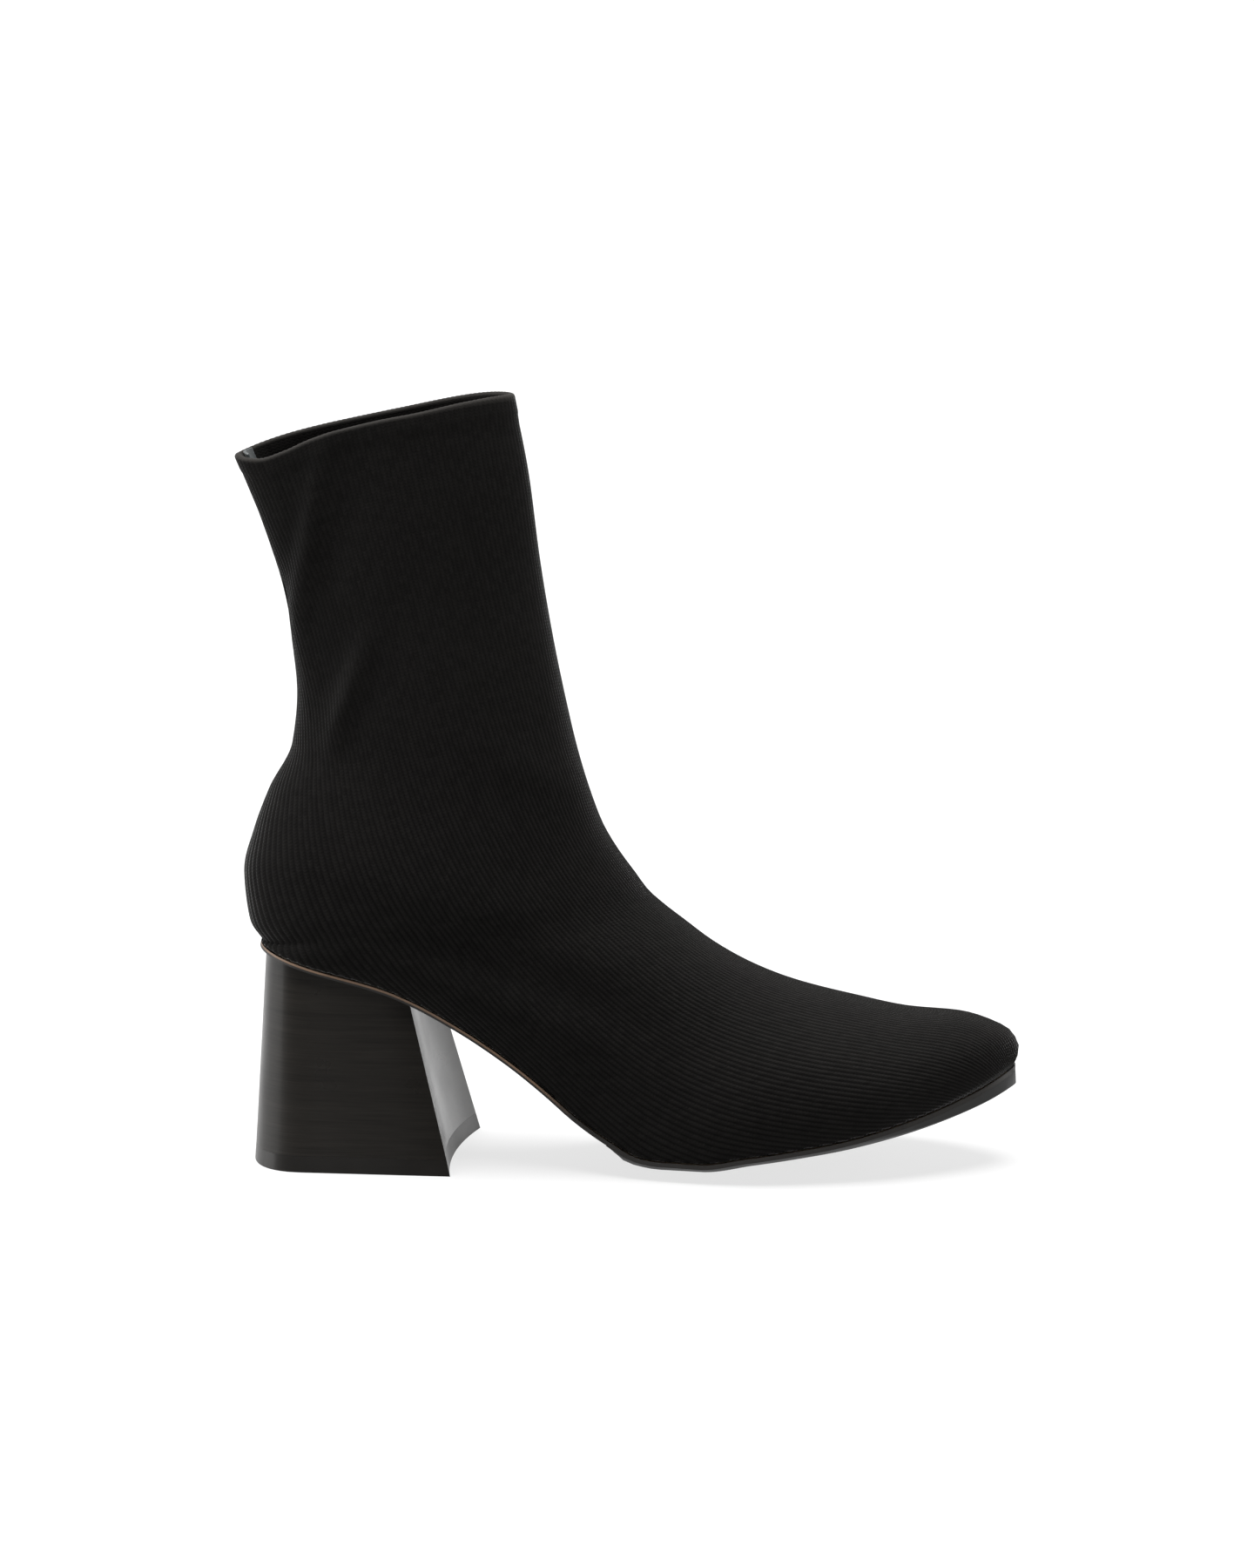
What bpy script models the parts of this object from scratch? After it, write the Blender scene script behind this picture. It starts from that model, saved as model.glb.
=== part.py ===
"""Sock boot for the right foot: a ribbed knit upper on a thin sole with a flared block heel.

Metres. +X runs to the toe, +Y to the inner side of the foot, +Z up. The origin lies on the floor,
under the middle of the boot.

The upper is one knit tube. Sections run round it: across the shaft they are closed loops, and under
the foot they are arches that end on the feather line, where the upper meets the outsole.
"""

import math

import bmesh
import bpy
import numpy as np

# Sizes of the last and the upper
LENGTH = 0.240
COLLAR_HEIGHT = 0.238
COLLAR_DROP = 0.019
COLLAR_BOW = 0.0028
SHAFT_WIDTH = 0.045
INSTEP_HEIGHT = 0.0812
UPPER_WALL = 0.0018
HEM_HEIGHT = 0.006
HEM_PROUD = 0.0004

# Sizes of the sole
BALL_WIDTH = 0.075
SEAT_RISE = 0.0625
TOE_SPRING = 0.0242
HEEL_BACK = 0.0058
TOE_SWING = 0.0096
SEAT_ROUND = 0.0235
TOE_ROUND = 0.045
OUTSOLE_THICK = 0.0013
OUTSOLE_MARGIN = 0.0005
TREAD_THICK = 0.0045
TREAD_START = 0.118
TREAD_CHAMFER = 0.006
TREAD_EDGE_LIFT = 0.004
TREAD_BEVEL = 0.0016
INSOLE_THICK = 0.0025

# Shares of the tread: how much of its half width lies flat, and how thick its back edge is
TREAD_FLAT = 0.4
TREAD_BACK = 0.25

# Sizes of the heel
BREAST_TOP = 0.0556
HEEL_INSET = 0.0011
BASE_BACK = 0.0037
BASE_FRONT = 0.069
BASE_WIDTH = 0.066
BASE_ROUND = 0.020
BREAST_HOLLOW = 0.0032
TOP_LIFT_THICK = 0.005

# Sizes of the tape inside the back seam
TAPE_WIDTH = 0.010
TAPE_THICK = 0.0008
TAPE_DROP = 0.0015
TAPE_END = 1.5  # rows of SHAFT_SECTIONS that it stops above the heel seat

# Clearance between flat faces that meet, and between faceted curves that meet
GAP = 0.0003
CURVE_GAP = 0.00045

# Points nearer than WELD are one point, and TINY keeps a division clear of zero
WELD = 0.000003
TINY = 1e-12

# Height of the outsole's upper face where the tread lies flat
STACK = TREAD_THICK + GAP + OUTSOLE_THICK

# Mesh density
SIDE_COLUMNS = 18
SHAFT_ROWS = 14
FOOT_ROWS = 32
SOLE_ROWS = 72

# The outsole's upper face from the side. along: share of LENGTH; seat: share of SEAT_RISE;
# spring: share of TOE_SPRING.
SOLE_PROFILE = [
    # along, seat, spring
    (0.000, 1.000, 0.000),
    (0.125, 0.886, 0.000),
    (0.200, 0.809, 0.000),
    (0.240, 0.744, 0.000),
    (0.300, 0.611, 0.000),
    (0.360, 0.456, 0.000),
    (0.410, 0.306, 0.000),
    (0.450, 0.180, 0.000),
    (0.490, 0.085, 0.000),
    (0.530, 0.011, 0.000),
    (0.555, 0.000, 0.000),
    (0.610, 0.000, 0.000),
    (0.670, 0.000, 0.099),
    (0.730, 0.000, 0.190),
    (0.790, 0.000, 0.289),
    (0.850, 0.000, 0.434),
    (0.910, 0.000, 0.616),
    (0.960, 0.000, 0.806),
    (1.000, 0.000, 1.000),
]

# The feather line from above, before its ends are rounded. along: share of LENGTH; half: half
# width, as a share of BALL_WIDTH; swing: where its middle lies, as a share of TOE_SWING.
SOLE_OUTLINE = [
    # along, half, swing
    (0.0000, 0.360, 0.00),
    (0.1875, 0.360, 0.00),
    (0.2500, 0.338, -0.10),
    (0.3125, 0.305, -0.19),
    (0.3750, 0.294, -0.25),
    (0.4375, 0.320, -0.19),
    (0.5000, 0.380, -0.08),
    (0.5625, 0.440, 0.04),
    (0.6250, 0.483, 0.15),
    (0.6875, 0.500, 0.27),
    (0.7500, 0.487, 0.45),
    (0.8125, 0.453, 0.66),
    (0.8750, 0.407, 0.83),
    (0.9375, 0.360, 0.96),
    (1.0000, 0.320, 1.00),
]

# Closed sections of the shaft, from the collar down. front and back: how far along LENGTH they
# stand; up: share of the height between the foot's first section and the collar; crown and
# girth: how full the section is near its front and its back, as shares of SHAFT_WIDTH.
SHAFT_SECTIONS = [
    # front, front_up, back, back_up, crown, girth
    (0.3555, 1.000, -0.0070, 1.000, 0.450, 0.450),
    (0.3750, 0.837, 0.0203, 0.896, 0.500, 0.500),
    (0.3888, 0.661, 0.0478, 0.766, 0.560, 0.560),
    (0.4045, 0.505, 0.0675, 0.636, 0.630, 0.620),
    (0.4207, 0.374, 0.0721, 0.524, 0.690, 0.680),
    (0.4360, 0.266, 0.0650, 0.411, 0.740, 0.740),
    (0.4530, 0.174, 0.0345, 0.315, 0.775, 0.830),
    (0.4693, 0.105, 0.0138, 0.229, 0.790, 0.950),
    (0.4860, 0.058, 0.0004, 0.143, 0.790, 1.050),
    (0.4998, 0.026, 0.0012, 0.050, 0.795, 1.110),
]

# Open sections of the foot, from the heel's back point to the toe. front: share of LENGTH;
# height: the ridge over the sole, as a share of INSTEP_HEIGHT; sole: how far round the turn from
# heel to toe the section meets the sole, from 0 to 1; crown and girth: how full it is near its
# ridge and its foot, as shares of BALL_WIDTH; low: how far down its widest part is drawn.
FOOT_SECTIONS = [
    # front, height, sole, crown, girth, low
    (0.5135, 1.000, 0.000, 0.480, 0.667, 1.00),
    (0.5295, 0.945, 0.100, 0.485, 0.535, 0.95),
    (0.5495, 0.900, 0.200, 0.485, 0.445, 0.88),
    (0.5758, 0.843, 0.300, 0.475, 0.440, 0.80),
    (0.6104, 0.765, 0.400, 0.465, 0.455, 0.72),
    (0.6563, 0.666, 0.500, 0.445, 0.520, 0.64),
    (0.7146, 0.567, 0.600, 0.413, 0.590, 0.60),
    (0.7833, 0.479, 0.700, 0.360, 0.573, 0.60),
    (0.8625, 0.371, 0.790, 0.313, 0.453, 0.60),
    (0.9250, 0.291, 0.860, 0.260, 0.333, 0.60),
    (0.9667, 0.211, 0.920, 0.180, 0.213, 0.60),
    (0.9925, 0.133, 0.960, 0.113, 0.127, 0.60),
    (1.0042, 0.060, 0.985, 0.060, 0.067, 0.60),
    (1.0000, 0.000, 1.000, 0.000, 0.000, 0.60),
]

# Colours, roughness
KNIT_BLACK = ((0.012, 0.0115, 0.011), 0.85)
LEATHER_TAN = ((0.33, 0.20, 0.11), 0.5)
RUBBER_BLACK = ((0.02, 0.02, 0.02), 0.6)
HEEL_BROWN = ((0.022, 0.018, 0.014), 0.38)
INSOLE_TAN = ((0.42, 0.30, 0.19), 0.65)
TAPE_GREY = ((0.05, 0.055, 0.06), 0.5)


def smooth(xs, ys, at):
    """A cubic through the points that never overshoots them, read at `at`."""
    xs, ys = np.asarray(xs, float), np.asarray(ys, float)
    step = np.diff(xs)
    slope = np.diff(ys) / step
    tangent = np.zeros(len(xs))
    same = slope[:-1] * slope[1:] > 0
    before, after = 2 * step[1:] + step[:-1], step[1:] + 2 * step[:-1]
    safe_a = np.where(same, slope[:-1], 1.0)
    safe_b = np.where(same, slope[1:], 1.0)
    tangent[1:-1] = np.where(same, (before + after) / (before / safe_a + after / safe_b), 0.0)
    tangent[0], tangent[-1] = slope[0], slope[-1]
    at = np.clip(at, xs[0], xs[-1])
    i = np.clip(np.searchsorted(xs, at, side="right") - 1, 0, len(xs) - 2)
    h = step[i]
    t = (at - xs[i]) / h
    return (
        ys[i] * (1 + 2 * t) * (1 - t) ** 2
        + tangent[i] * h * t * (1 - t) ** 2
        + ys[i + 1] * t * t * (3 - 2 * t)
        + tangent[i + 1] * h * t * t * (t - 1)
    )


def column(table, number):
    return np.array([row[number] for row in table], float)


def sole_height(x):
    """Height of the outsole's upper face at x."""
    along = column(SOLE_PROFILE, 0) * LENGTH
    height = STACK + column(SOLE_PROFILE, 1) * SEAT_RISE + column(SOLE_PROFILE, 2) * TOE_SPRING
    return smooth(along, height, x)


def sole_slope(x):
    reach = LENGTH / 1000
    return (sole_height(x + reach) - sole_height(x - reach)) / (2 * reach)


def below_sole(x, depth):
    """The point at that depth under the outsole's upper face, square to the face."""
    slope = sole_slope(x)
    size = np.hypot(1, slope)
    return x + depth * slope / size, sole_height(x) - depth / size


def sole_middle(x):
    return smooth(column(SOLE_OUTLINE, 0) * LENGTH, column(SOLE_OUTLINE, 2) * TOE_SWING, x)


def sole_ends(x):
    """How far x lies into the rounded heel end and the rounded toe end, each from 0 to 1."""
    heel = np.clip((HEEL_BACK + SEAT_ROUND - x) / SEAT_ROUND, 0, 1)
    toe = np.clip((x - LENGTH + TOE_ROUND) / TOE_ROUND, 0, 1)
    return heel, toe


def sole_half(x, grow=0.0):
    """Half the width of the feather line at x, grown outwards by `grow`."""
    heel, toe = sole_ends(x)
    width = smooth(column(SOLE_OUTLINE, 0) * LENGTH, column(SOLE_OUTLINE, 1) * BALL_WIDTH, x) + grow
    return width * np.sqrt(1 - heel**2) * np.sqrt(1 - toe**2)


def turn(share):
    """Runs from 0 to 1, with close steps at both ends."""
    return (1 - np.cos(math.pi * np.asarray(share, float))) / 2


def section_values(s):
    """The section at s, where whole numbers are the tables' rows: its ridge, foot and fullness."""
    closed = len(SHAFT_SECTIONS)
    rows = np.arange(closed + len(FOOT_SECTIONS))
    front_x = np.concatenate([column(SHAFT_SECTIONS, 0), column(FOOT_SECTIONS, 0)]) * LENGTH
    ridge = sole_height(column(FOOT_SECTIONS, 0) * LENGTH) + column(FOOT_SECTIONS, 1) * INSTEP_HEIGHT
    ridge[-1] += CURVE_GAP
    shaft_front = ridge[0] + column(SHAFT_SECTIONS, 1) * (COLLAR_HEIGHT - ridge[0])
    front_z = np.concatenate([shaft_front, ridge])
    seat = sole_height(HEEL_BACK) + CURVE_GAP
    collar_back = COLLAR_HEIGHT - COLLAR_DROP
    back_x = np.append(column(SHAFT_SECTIONS, 2) * LENGTH, HEEL_BACK)
    back_z = np.append(seat + column(SHAFT_SECTIONS, 3) * (collar_back - seat), seat)
    sole = np.concatenate([np.zeros(closed), column(FOOT_SECTIONS, 2)])
    crown = np.concatenate([column(SHAFT_SECTIONS, 4) * SHAFT_WIDTH, column(FOOT_SECTIONS, 3) * BALL_WIDTH])
    girth = np.concatenate([column(SHAFT_SECTIONS, 5) * SHAFT_WIDTH, column(FOOT_SECTIONS, 4) * BALL_WIDTH])
    low = np.concatenate([np.ones(closed), column(FOOT_SECTIONS, 5)])
    s = np.asarray(s, float)
    open_part = s > closed
    on_sole = HEEL_BACK + (LENGTH - HEEL_BACK) * turn(smooth(rows, sole, s))
    foot_x = np.where(open_part, on_sole, smooth(rows[: closed + 1], back_x, s))
    foot_z = np.where(open_part, sole_height(on_sole) + CURVE_GAP, smooth(rows[: closed + 1], back_z, s))
    return {
        "front_x": smooth(rows, front_x, s),
        "front_z": smooth(rows, front_z, s),
        "foot_x": foot_x,
        "foot_z": foot_z,
        "edge": np.where(open_part, sole_half(foot_x), 0.0),
        "crown": smooth(rows, crown, s),
        "girth": smooth(rows, girth, s),
        "low": smooth(rows, low, s),
    }


LAST_SECTION = len(SHAFT_SECTIONS) + len(FOOT_SECTIONS) - 1


def half_sections(values, t):
    """Points on the half sections: across (outwards from the middle) and down (0 ridge, 1 foot)."""
    crown, girth, low, edge = (values[k][:, None] for k in ("crown", "girth", "low", "edge"))
    across = 3 * crown * t * (1 - t) ** 2 + 3 * girth * t**2 * (1 - t) + edge * t**3
    down = 3 * low * t**2 * (1 - t) + t**3
    return across, down


def section_lengths(values):
    """Running length round each half section, from its ridge to its foot."""
    t = np.linspace(0, 1, 49)[None, :]
    across, down = half_sections(values, t)
    height = np.hypot(values["front_x"] - values["foot_x"], values["front_z"] - values["foot_z"])
    pieces = np.hypot(np.diff(across), np.diff(down) * height[:, None])
    return t[0], np.concatenate([np.zeros((len(pieces), 1)), np.cumsum(pieces, axis=1)], axis=1)


def upper_points(s, share):
    """Points of the upper's outer face. share runs from 0 on the ridge to -1 or 1 at the foot."""
    values = section_values(s)
    t_steps, lengths = section_lengths(values)
    wanted = np.abs(share) * lengths[:, -1]
    i = np.clip((lengths < wanted[:, None]).sum(axis=1) - 1, 0, len(t_steps) - 2)
    row = np.arange(len(i))
    run = np.maximum(lengths[row, i + 1] - lengths[row, i], TINY)
    t = t_steps[i] + np.clip((wanted - lengths[row, i]) / run, 0, 1) * (t_steps[i + 1] - t_steps[i])
    across, down = half_sections(values, t[:, None])
    across, down = across[:, 0], down[:, 0]
    x = values["front_x"] + down * (values["foot_x"] - values["front_x"])
    z = values["front_z"] + down * (values["foot_z"] - values["front_z"])
    z = z + COLLAR_BOW * np.clip(1 - s / 2, 0, 1) ** 2 * (1 - (2 * down - 1) ** 4)
    middle = sole_middle(values["front_x"]) * (1 - down) + sole_middle(values["foot_x"]) * down
    return np.stack([x, middle + np.sign(share) * across, z], axis=-1)


def collar_distance(distance):
    """The section that lies that far below the collar, along the front."""
    s = np.linspace(0, 2, 80)
    values = section_values(s)
    run = np.hypot(np.diff(values["front_x"]), np.diff(values["front_z"]))
    return float(np.interp(distance, np.append(0, np.cumsum(run)), s))


def upper_grid():
    """Points of the upper's outer face, rows down from the collar, columns from one foot to the other."""
    shares = np.linspace(-1, 1, 2 * SIDE_COLUMNS + 1)
    closed = len(SHAFT_SECTIONS)
    hem, below_hem = collar_distance(HEM_HEIGHT), collar_distance(HEM_HEIGHT + 2 * HEM_PROUD)
    shaft = [0.0, hem, *np.linspace(below_hem, closed, SHAFT_ROWS)]
    rows = shaft + list(np.linspace(closed, LAST_SECTION, FOOT_ROWS + 1)[1:])
    points = np.array([upper_points(np.full(len(shares), s), shares) for s in rows])
    return points, 2, len(shaft)


def upper_normals(points, loops):
    """Outward normals of the upper's grid, whose first rows are closed loops."""
    down = np.gradient(points, axis=0)
    around = np.gradient(points, axis=1)
    around[:loops, 0] = around[:loops, -1] = points[:loops, 1] - points[:loops, -2]
    normals = unit(np.cross(down, around))
    normals[:loops, 0] = normals[:loops, -1] = unit(normals[:loops, 0] + normals[:loops, -1])
    normals[-1] = (1, 0, 0)
    ends = normals[loops:, [0, -1]]
    ends[..., 2] = 0
    normals[loops:, [0, -1]] = unit(ends)
    return normals


def unit(vectors):
    return vectors / np.maximum(np.linalg.norm(vectors, axis=-1, keepdims=True), TINY)


def material(name, finish):
    colour, roughness = finish
    made = bpy.data.materials.new(name)
    made.use_nodes = True
    shader = made.node_tree.nodes["Principled BSDF"]
    shader.inputs["Base Color"].default_value = (*colour, 1.0)
    shader.inputs["Roughness"].default_value = roughness
    shader.inputs["Metallic"].default_value = 0.0
    return made


def add_piece(name, points, faces, finish):
    """Makes one object of its own material from points and faces."""
    mesh = bpy.data.meshes.new(name)
    mesh.from_pydata([tuple(p) for p in points], [], faces)
    work = merged(mesh)
    work.to_mesh(mesh)
    work.free()
    mesh.shade_smooth()
    mesh.set_sharp_from_angle(angle=math.radians(35))
    mesh.materials.append(material(name, finish))
    piece = bpy.data.objects.new(name, mesh)
    bpy.context.scene.collection.objects.link(piece)
    return piece


def merged(mesh):
    """The mesh as a bmesh with doubled points merged and its faces turned outwards."""
    work = bmesh.new()
    work.from_mesh(mesh)
    bmesh.ops.remove_doubles(work, verts=work.verts, dist=WELD)
    bmesh.ops.recalc_face_normals(work, faces=work.faces)
    return work


def skin_faces(start, rows, columns):
    corners = [start + i * columns + j for i in range(rows - 1) for j in range(columns - 1)]
    return [(a, a + 1, a + 1 + columns, a + columns) for a in corners]


def shell(name, outer, inner, finish):
    """A bent plate between two grids that match."""
    rows, columns = outer.shape[:2]
    points = np.concatenate([outer.reshape(-1, 3), inner.reshape(-1, 3)])
    second = rows * columns
    faces = skin_faces(0, rows, columns)
    faces += [face[::-1] for face in skin_faces(second, rows, columns)]
    rims = [range(columns), range(second - columns, second)]
    rims += [range(end, second, columns) for end in (0, columns - 1)]
    for rim in rims:
        faces += [(a, b, b + second, a + second) for a, b in zip(rim, rim[1:])]
    return add_piece(name, points, faces, finish)


def make_upper():
    outer, hem_rows, loops = upper_grid()
    normals = upper_normals(outer, loops)
    inner = outer - normals * UPPER_WALL
    for end in (0, -1):
        inner[loops:, end, 2] = sole_height(inner[loops:, end, 0]) + CURVE_GAP
    inner[-1, :, 2] = inner[-1, 0, 2]
    outer[:hem_rows] += normals[:hem_rows] * HEM_PROUD
    rows, columns = outer.shape[:2]
    points = np.concatenate([outer.reshape(-1, 3), inner.reshape(-1, 3)])
    second = rows * columns
    faces = skin_faces(0, rows, columns)
    faces += [face[::-1] for face in skin_faces(second, rows, columns)]
    feather = [range((loops - 1) * columns + end, second, columns) for end in (0, columns - 1)]
    for rim in (range(columns), *feather):
        faces += [(a, b, b + second, a + second) for a, b in zip(rim, rim[1:])]
    return add_piece("upper", points, faces, KNIT_BLACK)


def make_back_tape():
    """The tape inside the back seam, laid against the upper's inner face."""
    top, bottom = collar_distance(TAPE_DROP), len(SHAFT_SECTIONS) - TAPE_END
    s = np.linspace(top, bottom, 14)
    reach = TAPE_WIDTH / 2 / section_lengths(section_values(s))[1][:, -1]
    right = np.array([upper_points(s, 1 - reach * share) for share in (1, 0.5, 0)])
    left = np.array([upper_points(s, reach * share - 1) for share in (0.5, 1)])
    grid = np.concatenate([right, left]).transpose(1, 0, 2)
    normals = unit(np.cross(np.gradient(grid, axis=0), np.gradient(grid, axis=1)))
    near = grid - normals * (UPPER_WALL + 2 * CURVE_GAP)
    return shell("back_tape", near, near - normals * TAPE_THICK, TAPE_GREY)


def slab(name, stations, shares, top, bottom, finish):
    """A plate between two faces over one plan. top and bottom give a point for x and a share across."""
    grids = [np.array([[face(x, v) for v in shares] for x in stations]) for face in (top, bottom)]
    return shell(name, grids[0], grids[1], finish)


def sole_stations(first, last, count):
    return first + (last - first) * turn(np.linspace(0, 1, count))


def sole_face(grow, depth, lift=0.0):
    """A face under the outsole's upper face, `lift` higher along its edges."""

    def point(x, v):
        half = sole_half(x, grow)
        outer = np.clip((abs(v) - TREAD_FLAT) / (1 - TREAD_FLAT), 0, 1)
        rise = lift * outer**2 * min(1.0, half / TREAD_CHAMFER)
        heel, toe = sole_ends(x)
        moved_x, z = below_sole(x + grow * (toe - heel), depth)
        return moved_x, sole_middle(x) + v * half, z + rise

    return point


def make_outsole():
    grow = OUTSOLE_MARGIN
    stations = sole_stations(HEEL_BACK, LENGTH, SOLE_ROWS)
    return slab("outsole", stations, (-1, 0, 1), sole_face(grow, 0), sole_face(grow, OUTSOLE_THICK), LEATHER_TAN)


def make_tread():
    """The forefoot's rubber, with a chamfered back edge at the waist."""
    grow = OUTSOLE_MARGIN
    upper_depth = OUTSOLE_THICK + GAP
    full = TREAD_START + TREAD_CHAMFER
    flat = [row[0] * LENGTH for row in SOLE_PROFILE if row[1] == 0 and row[2] == 0]
    ahead = sole_stations(flat[-1], LENGTH, SOLE_ROWS // 2)
    stations = np.concatenate([[TREAD_START], np.linspace(full, flat[0], 5), ahead])

    def underside(x, v):
        share = np.clip((x - TREAD_START) / TREAD_CHAMFER, TREAD_BACK, 1)
        depth = upper_depth + TREAD_THICK * share
        return sole_face(grow - TREAD_BEVEL * share, depth, TREAD_EDGE_LIFT * share)(x, v)

    across = (-1, -0.9, -0.75, -TREAD_FLAT, 0, TREAD_FLAT, 0.75, 0.9, 1)
    return slab("tread", stations, across, sole_face(grow, upper_depth), underside, RUBBER_BLACK)


def make_insole():
    """The footbed, inside the upper's wall."""
    grow = -(UPPER_WALL + 2 * CURVE_GAP)
    stations = sole_stations(HEEL_BACK, LENGTH, SOLE_ROWS)
    top, bottom = sole_face(grow, -GAP - INSOLE_THICK), sole_face(grow, -GAP)
    return slab("insole", stations, (-1, 0, 1), top, bottom, INSOLE_TAN)


def heel_plan(share, v, down):
    """x and y on the heel, share 0 at its back to 1 at its breast, v across, down 0 top to 1 floor."""
    seat_back, seat_width = HEEL_BACK + HEEL_INSET, sole_half(BREAST_TOP / 2) - HEEL_INSET
    back = seat_back + (BASE_BACK - seat_back) * down
    front = BREAST_TOP + (BASE_FRONT - BREAST_TOP) * down
    half = seat_width + (BASE_WIDTH / 2 - seat_width) * down
    bend = SEAT_ROUND + (BASE_ROUND - SEAT_ROUND) * down
    power = 2 + down / 2
    along = share * (front - back)
    rounding = (1 - np.clip(1 - along / bend, 0, 1) ** power) ** (1 / power)
    hollow = BREAST_HOLLOW * (1 - v * v) * share**4
    x = back + along - hollow
    narrow = min(1.0, float(sole_half(x, -HEEL_INSET)) / seat_width) if share > 0.5 else 1.0
    return x, v * half * rounding * (narrow * (1 - down) + down)


def heel_stations():
    curved, straight = 10, 5
    bend = SEAT_ROUND / (BREAST_TOP - HEEL_BACK)
    back = bend * (1 - np.cos(np.linspace(0, math.pi / 2, curved)))
    return np.concatenate([back, np.linspace(bend, 1, straight + 1)[1:]])


def make_heel():
    """The flared block, its top cut to the heel seat."""
    seat_depth = OUTSOLE_THICK + GAP
    foot = TOP_LIFT_THICK + GAP

    def top(share, v):
        x, y = heel_plan(share, v, 0.0)
        return x, y, sole_height(x) - seat_depth * np.hypot(1, sole_slope(x))

    def bottom(share, v):
        x, y = heel_plan(share, v, 1 - foot / sole_height(BREAST_TOP))
        return x, y, foot

    across = np.linspace(-1, 1, 9)
    return slab("heel", heel_stations(), across, top, bottom, HEEL_BROWN)


def make_top_lift():
    """The wearing piece under the heel."""
    down = 1 - TOP_LIFT_THICK / sole_height(BREAST_TOP)

    def top(share, v):
        return (*heel_plan(share, v, down), TOP_LIFT_THICK)

    def bottom(share, v):
        return (*heel_plan(share, v, 1.0), 0.0)

    return slab("top_lift", heel_stations(), np.linspace(-1, 1, 9), top, bottom, RUBBER_BLACK)


def clear_scene():
    for thing in list(bpy.data.objects):
        bpy.data.objects.remove(thing)


def centre_on_floor(pieces):
    """Moves the meshes so that the origin lies under the middle of the whole boot."""
    corners = np.array([tuple(v.co) for piece in pieces for v in piece.data.vertices])
    middle = (corners.min(axis=0) + corners.max(axis=0)) / 2
    for piece in pieces:
        for vertex in piece.data.vertices:
            vertex.co.x -= middle[0]
            vertex.co.y -= middle[1]


def main():
    clear_scene()
    makers = (make_upper, make_back_tape, make_insole, make_outsole, make_tread, make_heel, make_top_lift)
    centre_on_floor([make() for make in makers])


main()
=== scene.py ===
"""The looks of a knitted sock boot for the right foot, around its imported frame.

Metres. +X runs to the toe, +Y to the inner side of the foot, +Z up. The shape functions work in the
last's own frame, where x is 0 at the back of the heel, and every mesh is moved into the frame's.
"""

import math

import bmesh
import bpy
import numpy as np
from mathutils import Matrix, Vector


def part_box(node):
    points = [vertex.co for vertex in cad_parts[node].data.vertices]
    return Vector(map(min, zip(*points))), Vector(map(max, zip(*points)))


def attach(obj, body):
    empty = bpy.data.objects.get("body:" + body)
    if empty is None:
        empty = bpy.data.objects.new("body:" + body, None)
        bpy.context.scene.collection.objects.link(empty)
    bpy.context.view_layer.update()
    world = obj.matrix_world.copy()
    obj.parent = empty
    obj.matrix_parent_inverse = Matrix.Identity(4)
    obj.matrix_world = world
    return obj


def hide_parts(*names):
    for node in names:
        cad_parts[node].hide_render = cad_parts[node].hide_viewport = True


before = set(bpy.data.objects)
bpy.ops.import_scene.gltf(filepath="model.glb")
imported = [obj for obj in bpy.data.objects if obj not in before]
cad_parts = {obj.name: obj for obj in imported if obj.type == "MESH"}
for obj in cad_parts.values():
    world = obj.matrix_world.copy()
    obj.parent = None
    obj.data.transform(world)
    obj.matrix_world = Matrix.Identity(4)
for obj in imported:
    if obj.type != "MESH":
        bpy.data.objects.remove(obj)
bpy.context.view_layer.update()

# Sizes of the last and the upper
LENGTH = 0.240
COLLAR_HEIGHT = 0.238
COLLAR_DROP = 0.019
COLLAR_BOW = 0.0028
SHAFT_WIDTH = 0.045
INSTEP_HEIGHT = 0.0812
UPPER_WALL = 0.0018
HEM_HEIGHT = 0.006
HEM_PROUD = 0.0004

# Sizes of the sole
BALL_WIDTH = 0.075
SEAT_RISE = 0.0625
TOE_SPRING = 0.0242
HEEL_BACK = 0.0058
TOE_SWING = 0.0096
SEAT_ROUND = 0.0235
TOE_ROUND = 0.045
OUTSOLE_THICK = 0.0013
OUTSOLE_MARGIN = 0.0005
TREAD_THICK = 0.0045
TREAD_START = 0.118
TREAD_CHAMFER = 0.006
TREAD_EDGE_LIFT = 0.004
TREAD_BEVEL = 0.0016
TREAD_FLAT = 0.4
TREAD_BACK = 0.25
TREAD_TOE_BACK = 0.0008
TREAD_TOE_FILL = 0.8
INSOLE_THICK = 0.0025

# Sizes of the heel
BREAST_TOP = 0.0556
HEEL_INSET = 0.0011
BASE_BACK = 0.0037
BASE_FRONT = 0.069
BASE_WIDTH = 0.066
BASE_ROUND = 0.020
BREAST_HOLLOW = 0.0032
TOP_LIFT_THICK = 0.005

# Sizes of the tape inside the back seam
TAPE_WIDTH = 0.012
TAPE_THICK = 0.0008
TAPE_DROP = 0.0003
TAPE_END = 1.5

# Clearances between flat faces and between curved ones, and how high the sole's upper face lies
# where the tread is flat on the floor
GAP = 0.0003
CURVE_GAP = 0.00045
STACK = TREAD_THICK + GAP + OUTSOLE_THICK

# Gap between pieces that are glued flat together
GLUE_GAP = 0.00004

# The knit: columns to a rib, how deep the grooves between ribs are, how much of that depth and of the
# painted shade in the grooves the rim and the shaft have, rows down the outer face and the inner one,
# and the length of a loop
RIB_STEPS = 4
RIB_DEPTH = 0.00024
RIM_RELIEF = 0.45
SHAFT_RELIEF = 0.62
KNIT_ROWS = 100
LINING_ROWS = 24
COURSE = 0.0010

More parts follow.
